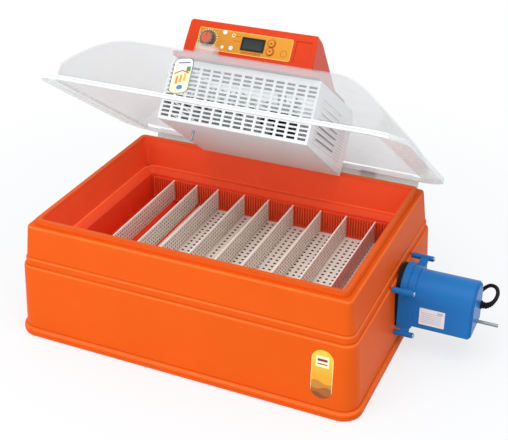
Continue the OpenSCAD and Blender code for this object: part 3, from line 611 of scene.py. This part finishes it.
class INCUBATOR_OT_plug(bpy.types.Operator):
    """Models the two-pin plug at the end of the lead."""

    bl_idname = "incubator.plug"
    bl_label = "Plug"

    def execute(self, context):
        end = lead_points()[-1] * MM
        self.body(end)
        self.pins(end)
        return {"FINISHED"}

    def body(self, end):
        """The flat grip, drawn in towards the lead and ended by three ribs."""
        deselect()
        middle = (end - Vector((PLUG_MIDDLE, 0, 0))) / MM
        bpy.ops.mesh.primitive_cube_add(size=1 / MM, location=middle, scale=PLUG_SIZE)
        plug = take("plug_body")
        pick(plug, lambda normal: normal.x > 0.9)
        push(6.0)
        bpy.ops.transform.resize(value=(1.0, 0.62, 0.94))
        push(4.0)
        bpy.ops.transform.resize(value=(1.0, 0.56, 0.86))
        for _ in range(3):
            push(1.6)
            bpy.ops.mesh.inset(thickness=0.8 / MM)
            push(1.4)
            bpy.ops.transform.resize(value=(1.0, 1.14, 1.14))
        push(1.5)
        merge(0.00002)
        bpy.ops.object.mode_set(mode="OBJECT")
        edge = plug.modifiers.new("edges", "BEVEL")
        edge.width = 1.1 / MM
        edge.segments = 3
        edge.limit_method = "ANGLE"
        bpy.ops.object.modifier_apply(modifier=edge.name)
        smooth()
        paint(plug, rubber("plug_black", "1a1a1c", 0.5, 0.18), "base", "black_rubber", "mains_plug")

    def pins(self, end):
        """Two round pins with rounded tips."""
        pin = stub("pin", 2.0, 18.0, 1.3, 4, sides=24)
        inset_foot(pin, 0.4)
        smooth()
        places = [(end + Vector((-PINS_FROM, side * PIN_SIDE, 0)), (-1, 0, 0)) for side in (-1, 1)]
        pins = scatter(pin, "plug_pins", places)
        paint(pins, metal("pin_nickel", "c9cacb", 0.25), "base", "steel")


class INCUBATOR_OT_lead(bpy.types.Operator):
    """Lays the mains lead from the drive to its plug."""

    bl_idname = "incubator.lead"
    bl_label = "Mains lead"

    def execute(self, context):
        points = lead_points()
        diameter = sizes().lead_diameter
        lead = tube("mains_lead", points, diameter / 2, 3)
        sheath = rubber("lead_sheath", "161618", 0.45, 0.1)
        paint(lead, sheath, "base", "black_rubber", "motor_cord", "cord_coil")
        length = sum((b - a).length for a, b in zip(points, points[1:]))
        return {"FINISHED"}


class INCUBATOR_OT_bush(bpy.types.Operator):
    """Models the ribbed rubber bush that guards the lead where it leaves the drive."""

    bl_idname = "incubator.bush"
    bl_label = "Lead bush"

    def execute(self, context):
        route = [Vector((DRIVE_END - 4, CORD_Y, CORD_Z)) / MM] + lead_points()[:40]
        rings = self.rings()
        places = [self.along(route, distance / MM) for distance, radius in rings]
        bush = tube("lead_bush", places, 1 / MM, 5, [radius for distance, radius in rings])
        only(bush)
        bpy.ops.object.convert(target="MESH")
        bush = context.object
        bpy.ops.object.mode_set(mode="EDIT")
        merge(0.000005)
        smooth(40.0)
        finish = rubber("bush_rubber", "161618", 0.55, edge=0.0003)
        paint(bush, finish, "base", "black_rubber", "cord_gland")
        return {"FINISHED"}

    def rings(self):
        """The bush's outline: a collar, five ribs that get smaller and a lip, as distance and radius."""
        made = [(0.0, 4.9), (4.0, 4.9), (4.05, 7.6), (4.5, 8.0), (6.6, 8.0), (7.1, 7.5), (7.2, 6.5)]
        for k in range(5):
            start = 8.4 + 3.7 * k
            ridge = 6.6 - 0.38 * k
            made += [(start, ridge - 0.9), (start + 0.5, ridge)]
            made += [(start + 2.2, ridge - 0.05), (start + 2.6, ridge - 1.0)]
        return made + [(28.4, 4.5), (29.0, 4.2), (29.1, 3.6)]

    def along(self, route, distance):
        """The point of a route that lies a distance from its start."""
        for a, b in zip(route, route[1:]):
            length = (b - a).length
            if distance <= length:
                return a.lerp(b, distance / length)
            distance -= length
        return route[-1]


class INCUBATOR_OT_screws(bpy.types.Operator):
    """Models the cross-head screws of the drive, hinges and control unit."""

    bl_idname = "incubator.screws"
    bl_label = "Screw heads"

    def execute(self, context):
        steel = metal("screw_bright", "b4babf", 0.28, (90.0, 90.0, 90.0))
        ahead = (1, 0, 0)
        drive = [((DRIVE_X + 33.0, DRIVE_Y + y, DRIVE_Z + z), ahead) for y, z in BOSSES]
        made = scatter(self.head(4.2, 2.6), "drive_screw_heads", drive)
        paint(made, steel, "base", "steel", "turner_screws")
        behind = (0, 1, 0)
        hinge = [((x, y, z), behind) for x in (-HINGE_X, HINGE_X) for y, z in HINGE_SCREWS]
        made = scatter(self.head(4.0, 2.4), "hinge_screw_heads", hinge)
        paint(made, steel, "base", "steel", "hinge_screws")
        unit = []
        for u in (-UNIT_SCREW_U, UNIT_SCREW_U):
            for back in UNIT_SCREW_BACK:
                unit.append((lid_point(u, UNIT_V - back, DOME_HEIGHT + 6.0), LID_UP))
        made = scatter(self.head(3.75, 2.4), "unit_screw_heads", unit)
        paint(made, steel, "lid", "steel", "control_screws")
        return {"FINISHED"}

    def head(self, radius, height):
        """A pan head with a cross recess, upright at the origin, in millimetres."""
        head = stub("screw_head", radius, height, height * 0.45, 4)
        deselect()
        bpy.ops.mesh.primitive_cube_add(
            size=1 / MM, location=(0, 0, height / MM), scale=(radius * 1.1, 0.9, 2.2)
        )
        cross = take("screw_cross")
        pick(cross, lambda normal: abs(normal.y) > 0.9)
        bpy.ops.mesh.subdivide(number_cuts=2)
        bpy.ops.object.mode_set(mode="OBJECT")
        other = twin(cross)
        other.rotation_euler = (0, 0, math.pi / 2)
        for cutter in (cross, other):
            self.cut(head, cutter)
        smooth(30.0)
        return head

    def cut(self, head, cutter):
        """Cuts one bar of the cross into the head."""
        only(head)
        recess = head.modifiers.new("recess", "BOOLEAN")
        recess.operation = "DIFFERENCE"
        recess.object = cutter
        bpy.context.view_layer.update()
        bpy.ops.object.modifier_apply(modifier=recess.name)
        discard(cutter)


class INCUBATOR_OT_lamps(bpy.types.Operator):
    """Models the two domed lamp lenses of the panel."""

    bl_idname = "incubator.lamps"
    bl_label = "Lamp lenses"

    def execute(self, context):
        lens = stub("lens", 4.5, 2.2, 1.5, 5)
        inset_foot(lens, 0.6)
        smooth(50.0)
        places = [(lid_point(u, UNIT_V + 0.74, PANEL_W + z), LID_FORWARD) for u, z in LAMPS]
        lenses = scatter(lens, "lamp_lenses", places)
        finish = Finish("lamp_white")
        finish.put("Base Color", finish.blend(finish.noise(300.0), colour("d9d6cc"), colour("f6f3ea")))
        finish.rough(200.0, 0.1, 0.18)
        paint(lenses, finish, "lid", "white_plastic", "indicator_lamps")
        return {"FINISHED"}


class INCUBATOR_OT_base(bpy.types.Operator):
    """Finishes the base, tub, combs, dividers and egg floor."""

    bl_idname = "incubator.base"
    bl_label = "Base and egg floor"

    def execute(self, context):
        case = moulded("case_orange", colours().case, 0.42, 0.14, 0.0015, change=self.painted_edge_light, gloss=0.06)
        coat(case, "outer_case")
        coat(moulded("tub_orange", colours().tub, 0.42, 0.12, 0.0015, change=self.rim), "inner_tub")
        coat(moulded("comb_orange", colour("fa6238"), 0.45, 0.1, 0.0004), "comb_front", "comb_back")
        cream = moulded("divider_cream", colours().divider, 0.5, 0.1, 0.0004, 0.04, self.pierced)
        coat(cream, *["divider_%d" % i for i in range(1, 10)])
        grid = moulded("floor_cream", colour("f8ede2"), 0.5, 0.1, 0.0004, 0.05, self.drilled)
        coat(grid, "floor_grid", "floor_tab", "drive_bracket")
        zinc = metal("zinc_plate", "c4c8cc", 0.34)
        coat(zinc, "hinge_bracket_left", "hinge_bracket_right", "hinge_arm_left", "hinge_arm_right")
        coat(metal("pin_steel", "aab0b4", 0.3), "hinge_pin_left", "hinge_pin_right", "temperature_probe")
        return {"FINISHED"}

    def painted_edge_light(self, finish, tone):
        """Painted highlights make the case's step corners paler, and painted shade darkens the grooves below
        them.
        """
        height = finish.split(finish.placed())[2]
        patch = finish.noise(22.0, 3.0)
        pale = finish.bands(height, CASE_HIGHLIGHT_BANDS)
        groove_shade = finish.bands(height, CASE_GROOVE_SHADE_BANDS)
        # Painted highlight: paler orange bands along the step corners
        tone = finish.blend(pale * (patch * 0.3 + 0.2), tone, colour("ff8a4a"))
        # Painted shade: darker red bands in the grooves below the corners
        return finish.blend(groove_shade * 0.5, tone, colour("b8330a"))

    def rim(self, finish, tone):
        """The tub's rim has the case's colour, its ledge a painted highlight line, and the lower wall a
        redder painted shade.
        """
        x, y, height = finish.split(finish.placed())
        outside = (abs(x) > HALF_WIDTH - RIM_INSIDE) + (abs(y) > HALF_DEPTH - RIM_INSIDE)
        rim = outside.math("MINIMUM", 1.0) * (height > SHOULDER - 4.0)
        # Painted shade: the wall turns redder and darker towards the bottom
        tone = finish.blend(finish.rise(height, 182.0, 168.0, 0.0, 0.45), tone, colour("e8321e"))
        # Painted highlight: a paler line along the ledge
        tone = finish.blend(finish.inside(height, LEDGE, 0.25) * 0.45, tone, colour("ff9a5e"))
        return finish.blend(rim, tone, tuple(colours().case))

    def pierced(self, finish, tone):
        """A divider's hole walls carry painted shade, its faces a grey painted shade, and its top edge a
        whiter painted highlight.
        """
        height = finish.split(finish.placed())[2]
        below = height < DIVIDER_EDGE
        # Painted highlight: the top edge is whiter than the faces
        tone = finish.blend(below * 0.35, colour("fffcf6"), tone)
        # Painted shade: the faces below the top edge turn grey
        tone = finish.blend(below * 0.45, tone, colour("d6ccba"))
        # Painted shade on the hole walls
        wall = (finish.facing(0) < 0.5) * (height < DIVIDER_TOP)
        return finish.blend(wall * 0.8, tone, colour("8a5a48"))

    def drilled(self, finish, tone):
        """The hole walls of the egg floor carry painted shade."""
        wall = finish.facing(2) < 0.5
        # Painted shade on the hole walls
        return finish.blend(wall * 0.9, tone, colour("4a2c24"))


class INCUBATOR_OT_drive(bpy.types.Operator):
    """Finishes the turning drive, its rod and the pieces on the lead."""

    bl_idname = "incubator.drive"
    bl_label = "Turning drive"

    def execute(self, context):
        coat(moulded("drive_blue", colours().drive, 0.33, 0.12, 0.0016), "turner_housing")
        coat(rubber("black_rubber", "19191b", 0.6, edge=0.0006), "turner_gasket", "cord_tie")
        coat(metal("drawn_rod", "8e959a", 0.28), "push_rod")
        coat(moulded("gear_white", colour("dcdcd6"), 0.4), "drive_pinion")
        coat(moulded("motor_grey", colour("5d6268"), 0.45), "turner_gearmotor", "fan_motor")
        return {"FINISHED"}


class INCUBATOR_OT_labels(bpy.types.Operator):
    """Prints the plain plates on the base, drive and lid."""

    bl_idname = "incubator.labels"
    bl_label = "Printed plates"

    def execute(self, context):
        self.front()
        self.drive()
        self.lid()
        return {"FINISHED"}

    def front(self):
        """A yellow plate with brown waves below and two bars on a pale field above."""
        plate = Finish("front_plate")
        x, _, z = plate.split(plate.placed((-FRONT_PLATE[0], 0.0, -FRONT_PLATE[1])))
        tone = plate.blend(plate.rise(z, -50.0, 50.0), colour("d27a12"), colour("f7cf3f"))
        swell = (x * 0.16).math("SINE")
        for level, code in ((-4.0, "e8a52c"), (-16.0, "c9822f"), (-28.0, "a85f28"), (-40.0, "8a4a20")):
            hill = z - swell * 3.0 < level
            tone = plate.blend(hill, tone, colour(code))
            swell = swell * -1.0
        field = plate.inside(x, 0.0, 12.0) * plate.inside(z, 26.0, 11.0)
        tone = plate.blend(field, tone, colour("fff3cf"))
        bars = plate.inside(x, 0.0, 9.0) * plate.bands(z, ((29.0, 2.6), (21.0, 1.2)))
        tone = plate.blend(bars, tone, colour("8c3a1c"))
        edge = abs(x) > 18.6
        plate.put("Base Color", plate.blend(edge * 0.5, tone, colour("fff1c0")))
        plate.rough(220.0, 0.1, 0.3)
        plate.put("Specular IOR Level", 0.3)
        coat(plate, "front_label")

    def drive(self):
        """A pale plate with faint rules and a grey field."""
        plate = Finish("drive_plate")
        x, _, z = plate.split(plate.placed((-DRIVE_PLATE[0], 0.0, -DRIVE_PLATE[1])))
        rules = plate.inside(x, -1, 19) * ((z % 4.0) < 0.9) * plate.inside(z, -2, 12)
        field = plate.inside(x, 15, 5.5) * plate.inside(z, 12.5, 3)
        ink = (rules * 0.55).math("MAXIMUM", field * 0.4)
        plate.put("Base Color", plate.blend(ink, colour("e9eef2"), colour("5c7186")))
        plate.rough(200.0, 0.1, 0.3)
        coat(plate, "motor_label")

    def lid(self):
        """A slanted white plate with plain bars, a bent line and a dot, and a grey edge."""
        plate = Finish("lid_plate")
        u, _, w = plate.on_lid()
        du = u - LID_PLATE[0]
        up = w * (1 / math.cos(DOME_LEAN)) - LID_PLATE[1]
        c = math.cos(LID_PLATE_TURN)
        s = math.sin(LID_PLATE_TURN)
        a = du * c + up * s
        b = up * c - du * s
        tone = plate.blend(b > 12.0, colour("f6ecc8"), colour("fbfbf7"))
        tone = plate.blend(plate.inside(a, 1.0, 11.0) * plate.inside(b, 30.0, 1.6), tone, colour("3f5f86"))
        bent = b - 6.0 + abs(a) * 0.5
        tone = plate.blend(plate.inside(bent, 6.0, 1.6) * plate.inside(a, 0.0, 14.0), tone, colour("c06a3c"))
        tone = plate.blend(plate.inside(a, 11.0, 4.0) * plate.inside(b, 15.0, 6.0), tone, colour("5c8c4a"))
        for place, low, code in ((-7.0, -10.0, "d98a3a"), (0.0, -7.0, "e0a030"), (7.0, -4.0, "e8b640")):
            bar = plate.inside(a, place, 2.2) * plate.inside(b, low, 9.0)
            tone = plate.blend(bar, tone, colour(code))
        tone = plate.blend(plate.dot(a, b, 1.0, -27.0, 5.6), tone, colour("4a86b8"))
        qa = (abs(a) - 6.0).math("MAXIMUM", 0.0)
        qb = (abs(b) - 29.0).math("MAXIMUM", 0.0)
        edge = qa * qa + qb * qb > 10.8 * 10.8
        plate.put("Base Color", plate.blend(edge, tone, colour("55585a")))
        plate.rough(200.0, 0.08, 0.3)
        coat(plate, "lid_label")


class INCUBATOR_OT_lid(bpy.types.Operator):
    """Finishes the clear dome, hopper and the slotted heater box."""

    bl_idname = "incubator.lid"
    bl_label = "Dome and heater box"

    def execute(self, context):
        self.dome()
        self.hopper()
        self.box()
        coat(moulded("heater_black", colour("35373a"), 0.5), "heater_element")
        coat(moulded("fan_black", colour("1c1d1f"), 0.4), "fan_impeller")
        return {"FINISHED"}

    def dome(self):
        """Clear plastic with a milky veil, thicker at the lip and low down at the rear, painted shade in the
        front lip's fold and a painted cool tint on the underside against the orange bounce light.
        """
        dome = Finish("dome_clear")
        _, v, w = dome.on_lid()
        cloud = dome.noise(9.0, 4.0)
        lip = w < LIP_HEIGHT
        front = lip * (v < -(LID_DEPTH - LIP_HEIGHT))
        frost = dome.blend(cloud, (0.62, 0.66, 0.67), (0.72, 0.745, 0.755))
        # Painted shade along the fold of the front lip
        fold_shade = front * dome.inside(w, 5.2, 0.9)
        skin = dome.blend(lip, frost, (0.88, 0.90, 0.90))
        # Painted light: a cool tint on the underside that cancels the orange bounce light
        skin = dome.blend(w < 0.5, skin, (0.78, 0.89, 0.88))
        dome.put("Base Color", dome.blend(fold_shade * 0.7, skin, (0.58, 0.61, 0.62)))
        dome.rough(40.0, 0.12, 0.2)
        milky = (1 - w / MILKY_HEIGHT) * (w < MILKY_HEIGHT) * (v / MILKY_DEPTH + 1) * (v > -MILKY_DEPTH)
        dome.put("Alpha", cloud * 0.05 + lip * 0.2 + front * 0.35 + milky * 0.2 + sizes().dome_alpha)
        dome.put("IOR", 1.45)
        dome.put("Specular IOR Level", 0.35)
        coat(dome, "lid_shell")

    def hopper(self):
        """The small clear filler on the dome's front."""
        clear = Finish("hopper_clear")
        clear.put("Base Color", clear.blend(clear.noise(30.0), (0.80, 0.82, 0.82), (0.90, 0.91, 0.91)))
        clear.rough(60.0, 0.1, 0.25)
        clear.put("Alpha", clear.noise(20.0) * 0.06 + 0.13)
        coat(clear, "filler_hopper")

    def box(self):
        """White sheet with a fine grid of dimples on its ends, painted shade in the dimples, and a painted
        cool tint on the underside against the orange bounce light.
        """
        box = Finish("heater_box_white")
        u, v, w = box.on_lid()
        side = abs(u) > 150.5
        cells = ((v % 6.0) < 3.0) * ((w % 6.0) < 3.0) * side
        cells = cells * box.inside(w, 36.0, 46.0) * box.inside(v, -190.0, 95.0)
        white = box.blend(box.noise(18.0), colour("eceff0"), colour("f6f8f8"))
        # Painted light: a cool tint on the underside that cancels the orange bounce light
        shell = box.blend(w < -14.6, white, colour("dcf0f2"))
        # Painted shade darkens the dimples
        box.put("Base Color", box.blend(cells * 0.55, shell, colour("8c9294")))
        box.rough(90.0, 0.15, 0.35)
        box.bump(1 - cells, 0.5, 0.0008, 0.0008)
        coat(box, "grille_box")


class INCUBATOR_OT_control(bpy.types.Operator):
    """Finishes the control unit, its film, window, dial and buttons."""

    bl_idname = "incubator.control"
    bl_label = "Control unit"

    def execute(self, context):
        coat(moulded("unit_orange", colours().unit, 0.34, 0.14, 0.0015), "control_housing")
        self.film()
        self.window()
        self.dial()
        self.keys()
        coat(moulded("board_green", colour("1f5a36"), 0.45), "circuit_board")
        coat(rubber("inlet_black", "171719", 0.45, 0.15, 0.0006), "power_inlet")
        return {"FINISHED"}

    def film(self):
        """The amber film with a pale scale round the dial and plain rules and rings."""
        film = Finish("panel_film")
        u, _, z = film.on_panel()
        base = tuple(colours().panel)
        warm = film.blend(film.rise(u, -106.0, 84.0), tuple(c * 0.8 for c in base), base)
        dx = u - DIAL_U
        away = (dx * dx + z * z).math("SQRT")
        angle = dx.math("ARCTAN2", z)
        tick = ((angle * (180 / math.pi) % 15.0) < 4.0) * film.inside(away, 18.2, 1.1) * (z > -13.0)
        sign = film.ring(u, z, *LAMP_SIGN, 3.4, 2.4)
        drop = film.dot(u, z, *WATER_SIGN, 3.0)
        pale_ink = (tick + sign + drop).math("MINIMUM", 1.0)
        rules = film.inside(u, -26.0, 7.0) * film.bands(z, ((12.0, 0.5), (3.0, 0.5)))
        legend = film.inside(u, 6.0, 20.0) * film.bands(z, ((-16.2, 0.9), (-18.8, 0.5)))
        loop = film.ring(u, z, *RIGHT_SIGN, 6.6, 5.2)
        halo = 0.0
        for side in (-1, 1):
            halo = film.ring(u, z, KEYS_U, side * KEY_RISE, 8.6, 7.4) + halo
        dark_ink = (rules + legend + loop * 0.7 + halo * 0.6).math("MINIMUM", 1.0)
        tone = film.blend(pale_ink, warm, colour("fff6e4"))
        tone = film.blend(dark_ink, tone, colour("b4481c"))
        field = film.inside(u, -11.0, 93.6) * film.inside(z, 0.0, 19.6)
        film.put("Base Color", film.blend(field, colour("f3bc62"), tone))
        film.rough(120.0, 0.1, 0.32)
        film.put("Specular IOR Level", 0.15)
        coat(film, "panel_overlay")

    def window(self):
        """The dark display, a little greener low down, in a black frame."""
        glass = Finish("display_dark")
        u, _, z = glass.on_panel()
        pane = glass.inside(u, 7.0, 19.5) * glass.inside(z, 0.0, 9.0)
        lower = glass.rise(z, -9.0, 9.0, 1.0, 0.0)
        screen = glass.blend(lower, colour("262b33"), colour("343f35"))
        glass.put("Base Color", glass.blend(pane, colour("1d1a18"), screen))
        glass.rough(200.0, 0.08, 0.3)
        glass.put("Specular IOR Level", 0.15)
        coat(glass, "display_window")

    def dial(self):
        """The dial's dark skirt and red crown."""
        dial = Finish("dial_dark")
        u, v, z = dial.on_panel()
        dx = u - DIAL_U
        away = (dx * dx + z * z).math("SQRT")
        crown = (away < 9.5) * (v < -(UNIT_V + 10.4))
        tone = dial.blend(crown, colour("6e5f57"), colour("d9532a"))
        dial.put("Base Color", dial.blend(dial.noise(160.0) * 0.3, tone, colour("52443c")))
        dial.rough(120.0, 0.15, 0.32)
        dial.bump(dial.noise(1500.0), 0.1, 0.0004, 0.0006)
        coat(dial, "dial_knob")

    def keys(self):
        """The two amber buttons with an arrow in a ring."""
        keys = Finish("button_amber")
        u, _, z = keys.on_panel()
        slope = abs(u - KEYS_U) * 1.3
        up = ((z - 5.0) + slope < 5.2) * (z > 5.4)
        down = ((-5.0 - z) + slope < 5.2) * (z < -5.4)
        mark = up + down
        for side in (-1, 1):
            mark = mark + keys.ring(u, z, KEYS_U, side * KEY_RISE, 6.4, 5.5)
        ink = mark.math("MINIMUM", 1.0)
        keys.put("Base Color", keys.blend(ink, tuple(colours().panel), colour("b5531c")))
        keys.put("Specular IOR Level", 0.15)
        keys.rough(100.0, 0.1, 0.35)
        keys.bump(keys.noise(1500.0), 0.1, 0.0004, 0.0006)
        coat(keys, "button_up", "button_down")


class INCUBATOR_OT_stage(bpy.types.Operator):
    """Sets the camera, floor and soft studio lamps."""

    bl_idname = "incubator.stage"
    bl_label = "Stage"

    def execute(self, context):
        scene = context.scene
        scene.view_settings.view_transform = "Standard"
        self.camera(scene)
        deselect()
        bpy.ops.mesh.primitive_plane_add(size=14.0, location=(0, 0, 0))
        floor = take("floor")
        floor.data.materials.append(self.paper())
        for name, place, size, share in LIGHTS:
            self.lamp(name, place, size, sizes().key_power * share)
        self.world(scene)
        return {"FINISHED"}

    def camera(self, scene):
        """The photograph's camera."""
        lens = bpy.data.cameras.new("camera")
        lens.sensor_fit = "HORIZONTAL"
        lens.sensor_width = SENSOR
        lens.lens = FOCAL_PIXELS * SENSOR / FRAME_WIDTH
        lens.clip_end = 60.0
        seen = bpy.data.objects.new("camera", lens)
        scene.collection.objects.link(seen)
        back = CAMERA_RIGHT.cross(CAMERA_UP)
        turn = Matrix((CAMERA_RIGHT, CAMERA_UP, back)).transposed().to_4x4()
        seen.matrix_world = Matrix.Translation(CAMERA_PLACE) @ turn
        scene.camera = seen

    def paper(self):
        """White studio paper that keeps a soft shadow near the object."""
        pale = Finish("floor_paper")
        pale.put("Base Color", pale.blend(pale.noise(0.8), (0.82, 0.87, 0.91), (0.84, 0.89, 0.93)))
        pale.put("Roughness", 0.8)
        pale.put("Specular IOR Level", 0.1)
        x, y, _ = pale.split(pale.place())
        away = (x * x + y * y).math("SQRT")
        share = pale.rise(away, 0.5, 1.3, sizes().paper_white, 1.0, "SMOOTHSTEP")
        share = share * Wire(pale, self.seen(pale.tree))
        lit = Wire(pale, pale.shader.outputs[0])
        white = pale.node("ShaderNodeEmission", None, {"Strength": 1.0})
        mix = pale.node("ShaderNodeMixShader", None, {0: share, 1: lit, 2: white})
        pale.feed(pale.tree.nodes["Material Output"].inputs[0], mix)
        return pale.material

    def seen(self, tree):
        """1 for what the camera sees directly, in a gloss or through something clear, else 0."""
        path = tree.nodes.new("ShaderNodeLightPath")
        total = path.outputs["Is Camera Ray"]
        for name in ("Is Glossy Ray", "Is Transmission Ray"):
            larger = tree.nodes.new("ShaderNodeMath")
            larger.operation = "MAXIMUM"
            tree.links.new(total, larger.inputs[0])
            tree.links.new(path.outputs[name], larger.inputs[1])
            total = larger.outputs[0]
        return total

    def lamp(self, name, place, size, power):
        """A square lamp that faces the object."""
        light = bpy.data.lights.new(name, "AREA")
        light.size = size
        light.energy = power
        lamp = bpy.data.objects.new(name, light)
        bpy.context.scene.collection.objects.link(lamp)
        lamp.location = place
        aim = LIGHTS_AIM - Vector(place)
        lamp.rotation_euler = aim.to_track_quat("-Z", "Y").to_euler()

    def world(self, scene):
        """A soft sky that lights the object, and plain white where it is seen."""
        world = bpy.data.worlds.new("studio")
        scene.world = world
        world.use_nodes = True
        nodes = world.node_tree.nodes
        links = world.node_tree.links
        sky = nodes["Background"]
        sky.inputs["Color"].default_value = (0.97, 0.985, 1.0, 1.0)
        sky.inputs["Strength"].default_value = SKY_STRENGTH
        white = nodes.new("ShaderNodeBackground")
        white.inputs["Color"].default_value = (1.0, 1.0, 1.0, 1.0)
        white.inputs["Strength"].default_value = 1.0
        mix = nodes.new("ShaderNodeMixShader")
        links.new(self.seen(world.node_tree), mix.inputs[0])
        links.new(sky.outputs[0], mix.inputs[1])
        links.new(white.outputs[0], mix.inputs[2])
        links.new(mix.outputs[0], nodes["World Output"].inputs[0])


class INCUBATOR_PT_panel(bpy.types.Panel):
    """Lists the incubator's colours and sizes and the steps that dress it."""

    bl_label = "Egg incubator"
    bl_idname = "INCUBATOR_PT_panel"
    bl_space_type = "VIEW_3D"
    bl_region_type = "UI"
    bl_category = "Incubator"

    def draw(self, context):
        for group in (colours(), sizes()):
            for name in type(group).__annotations__:
                self.layout.prop(group, name)
        for step in STEPS:
            self.layout.operator(step.bl_idname)


STEPS = (
    INCUBATOR_OT_stage, INCUBATOR_OT_plug, INCUBATOR_OT_lead, INCUBATOR_OT_bush, INCUBATOR_OT_screws,
    INCUBATOR_OT_lamps, INCUBATOR_OT_base, INCUBATOR_OT_drive, INCUBATOR_OT_labels, INCUBATOR_OT_lid,
    INCUBATOR_OT_control,
)
CLASSES = (IncubatorColours, IncubatorSizes) + STEPS + (INCUBATOR_PT_panel,)


def register():
    """Adds the classes and the scene's settings to Blender."""
    for item in CLASSES:
        bpy.utils.register_class(item)
    bpy.types.Scene.incubator_colours = bpy.props.PointerProperty(type=IncubatorColours)
    bpy.types.Scene.incubator_sizes = bpy.props.PointerProperty(type=IncubatorSizes)


def unregister():
    """Takes the scene's settings and the classes out of Blender again."""
    del bpy.types.Scene.incubator_sizes
    del bpy.types.Scene.incubator_colours
    for item in reversed(CLASSES):
        bpy.utils.unregister_class(item)


def main():
    """Dresses the frame step by step."""
    register()
    bpy.ops.incubator.stage()
    bpy.ops.incubator.plug()
    bpy.ops.incubator.lead()
    bpy.ops.incubator.bush()
    bpy.ops.incubator.screws()
    bpy.ops.incubator.lamps()
    bpy.ops.incubator.base()
    bpy.ops.incubator.drive()
    bpy.ops.incubator.labels()
    bpy.ops.incubator.lid()
    bpy.ops.incubator.control()


if __name__ == "__main__":
    main()
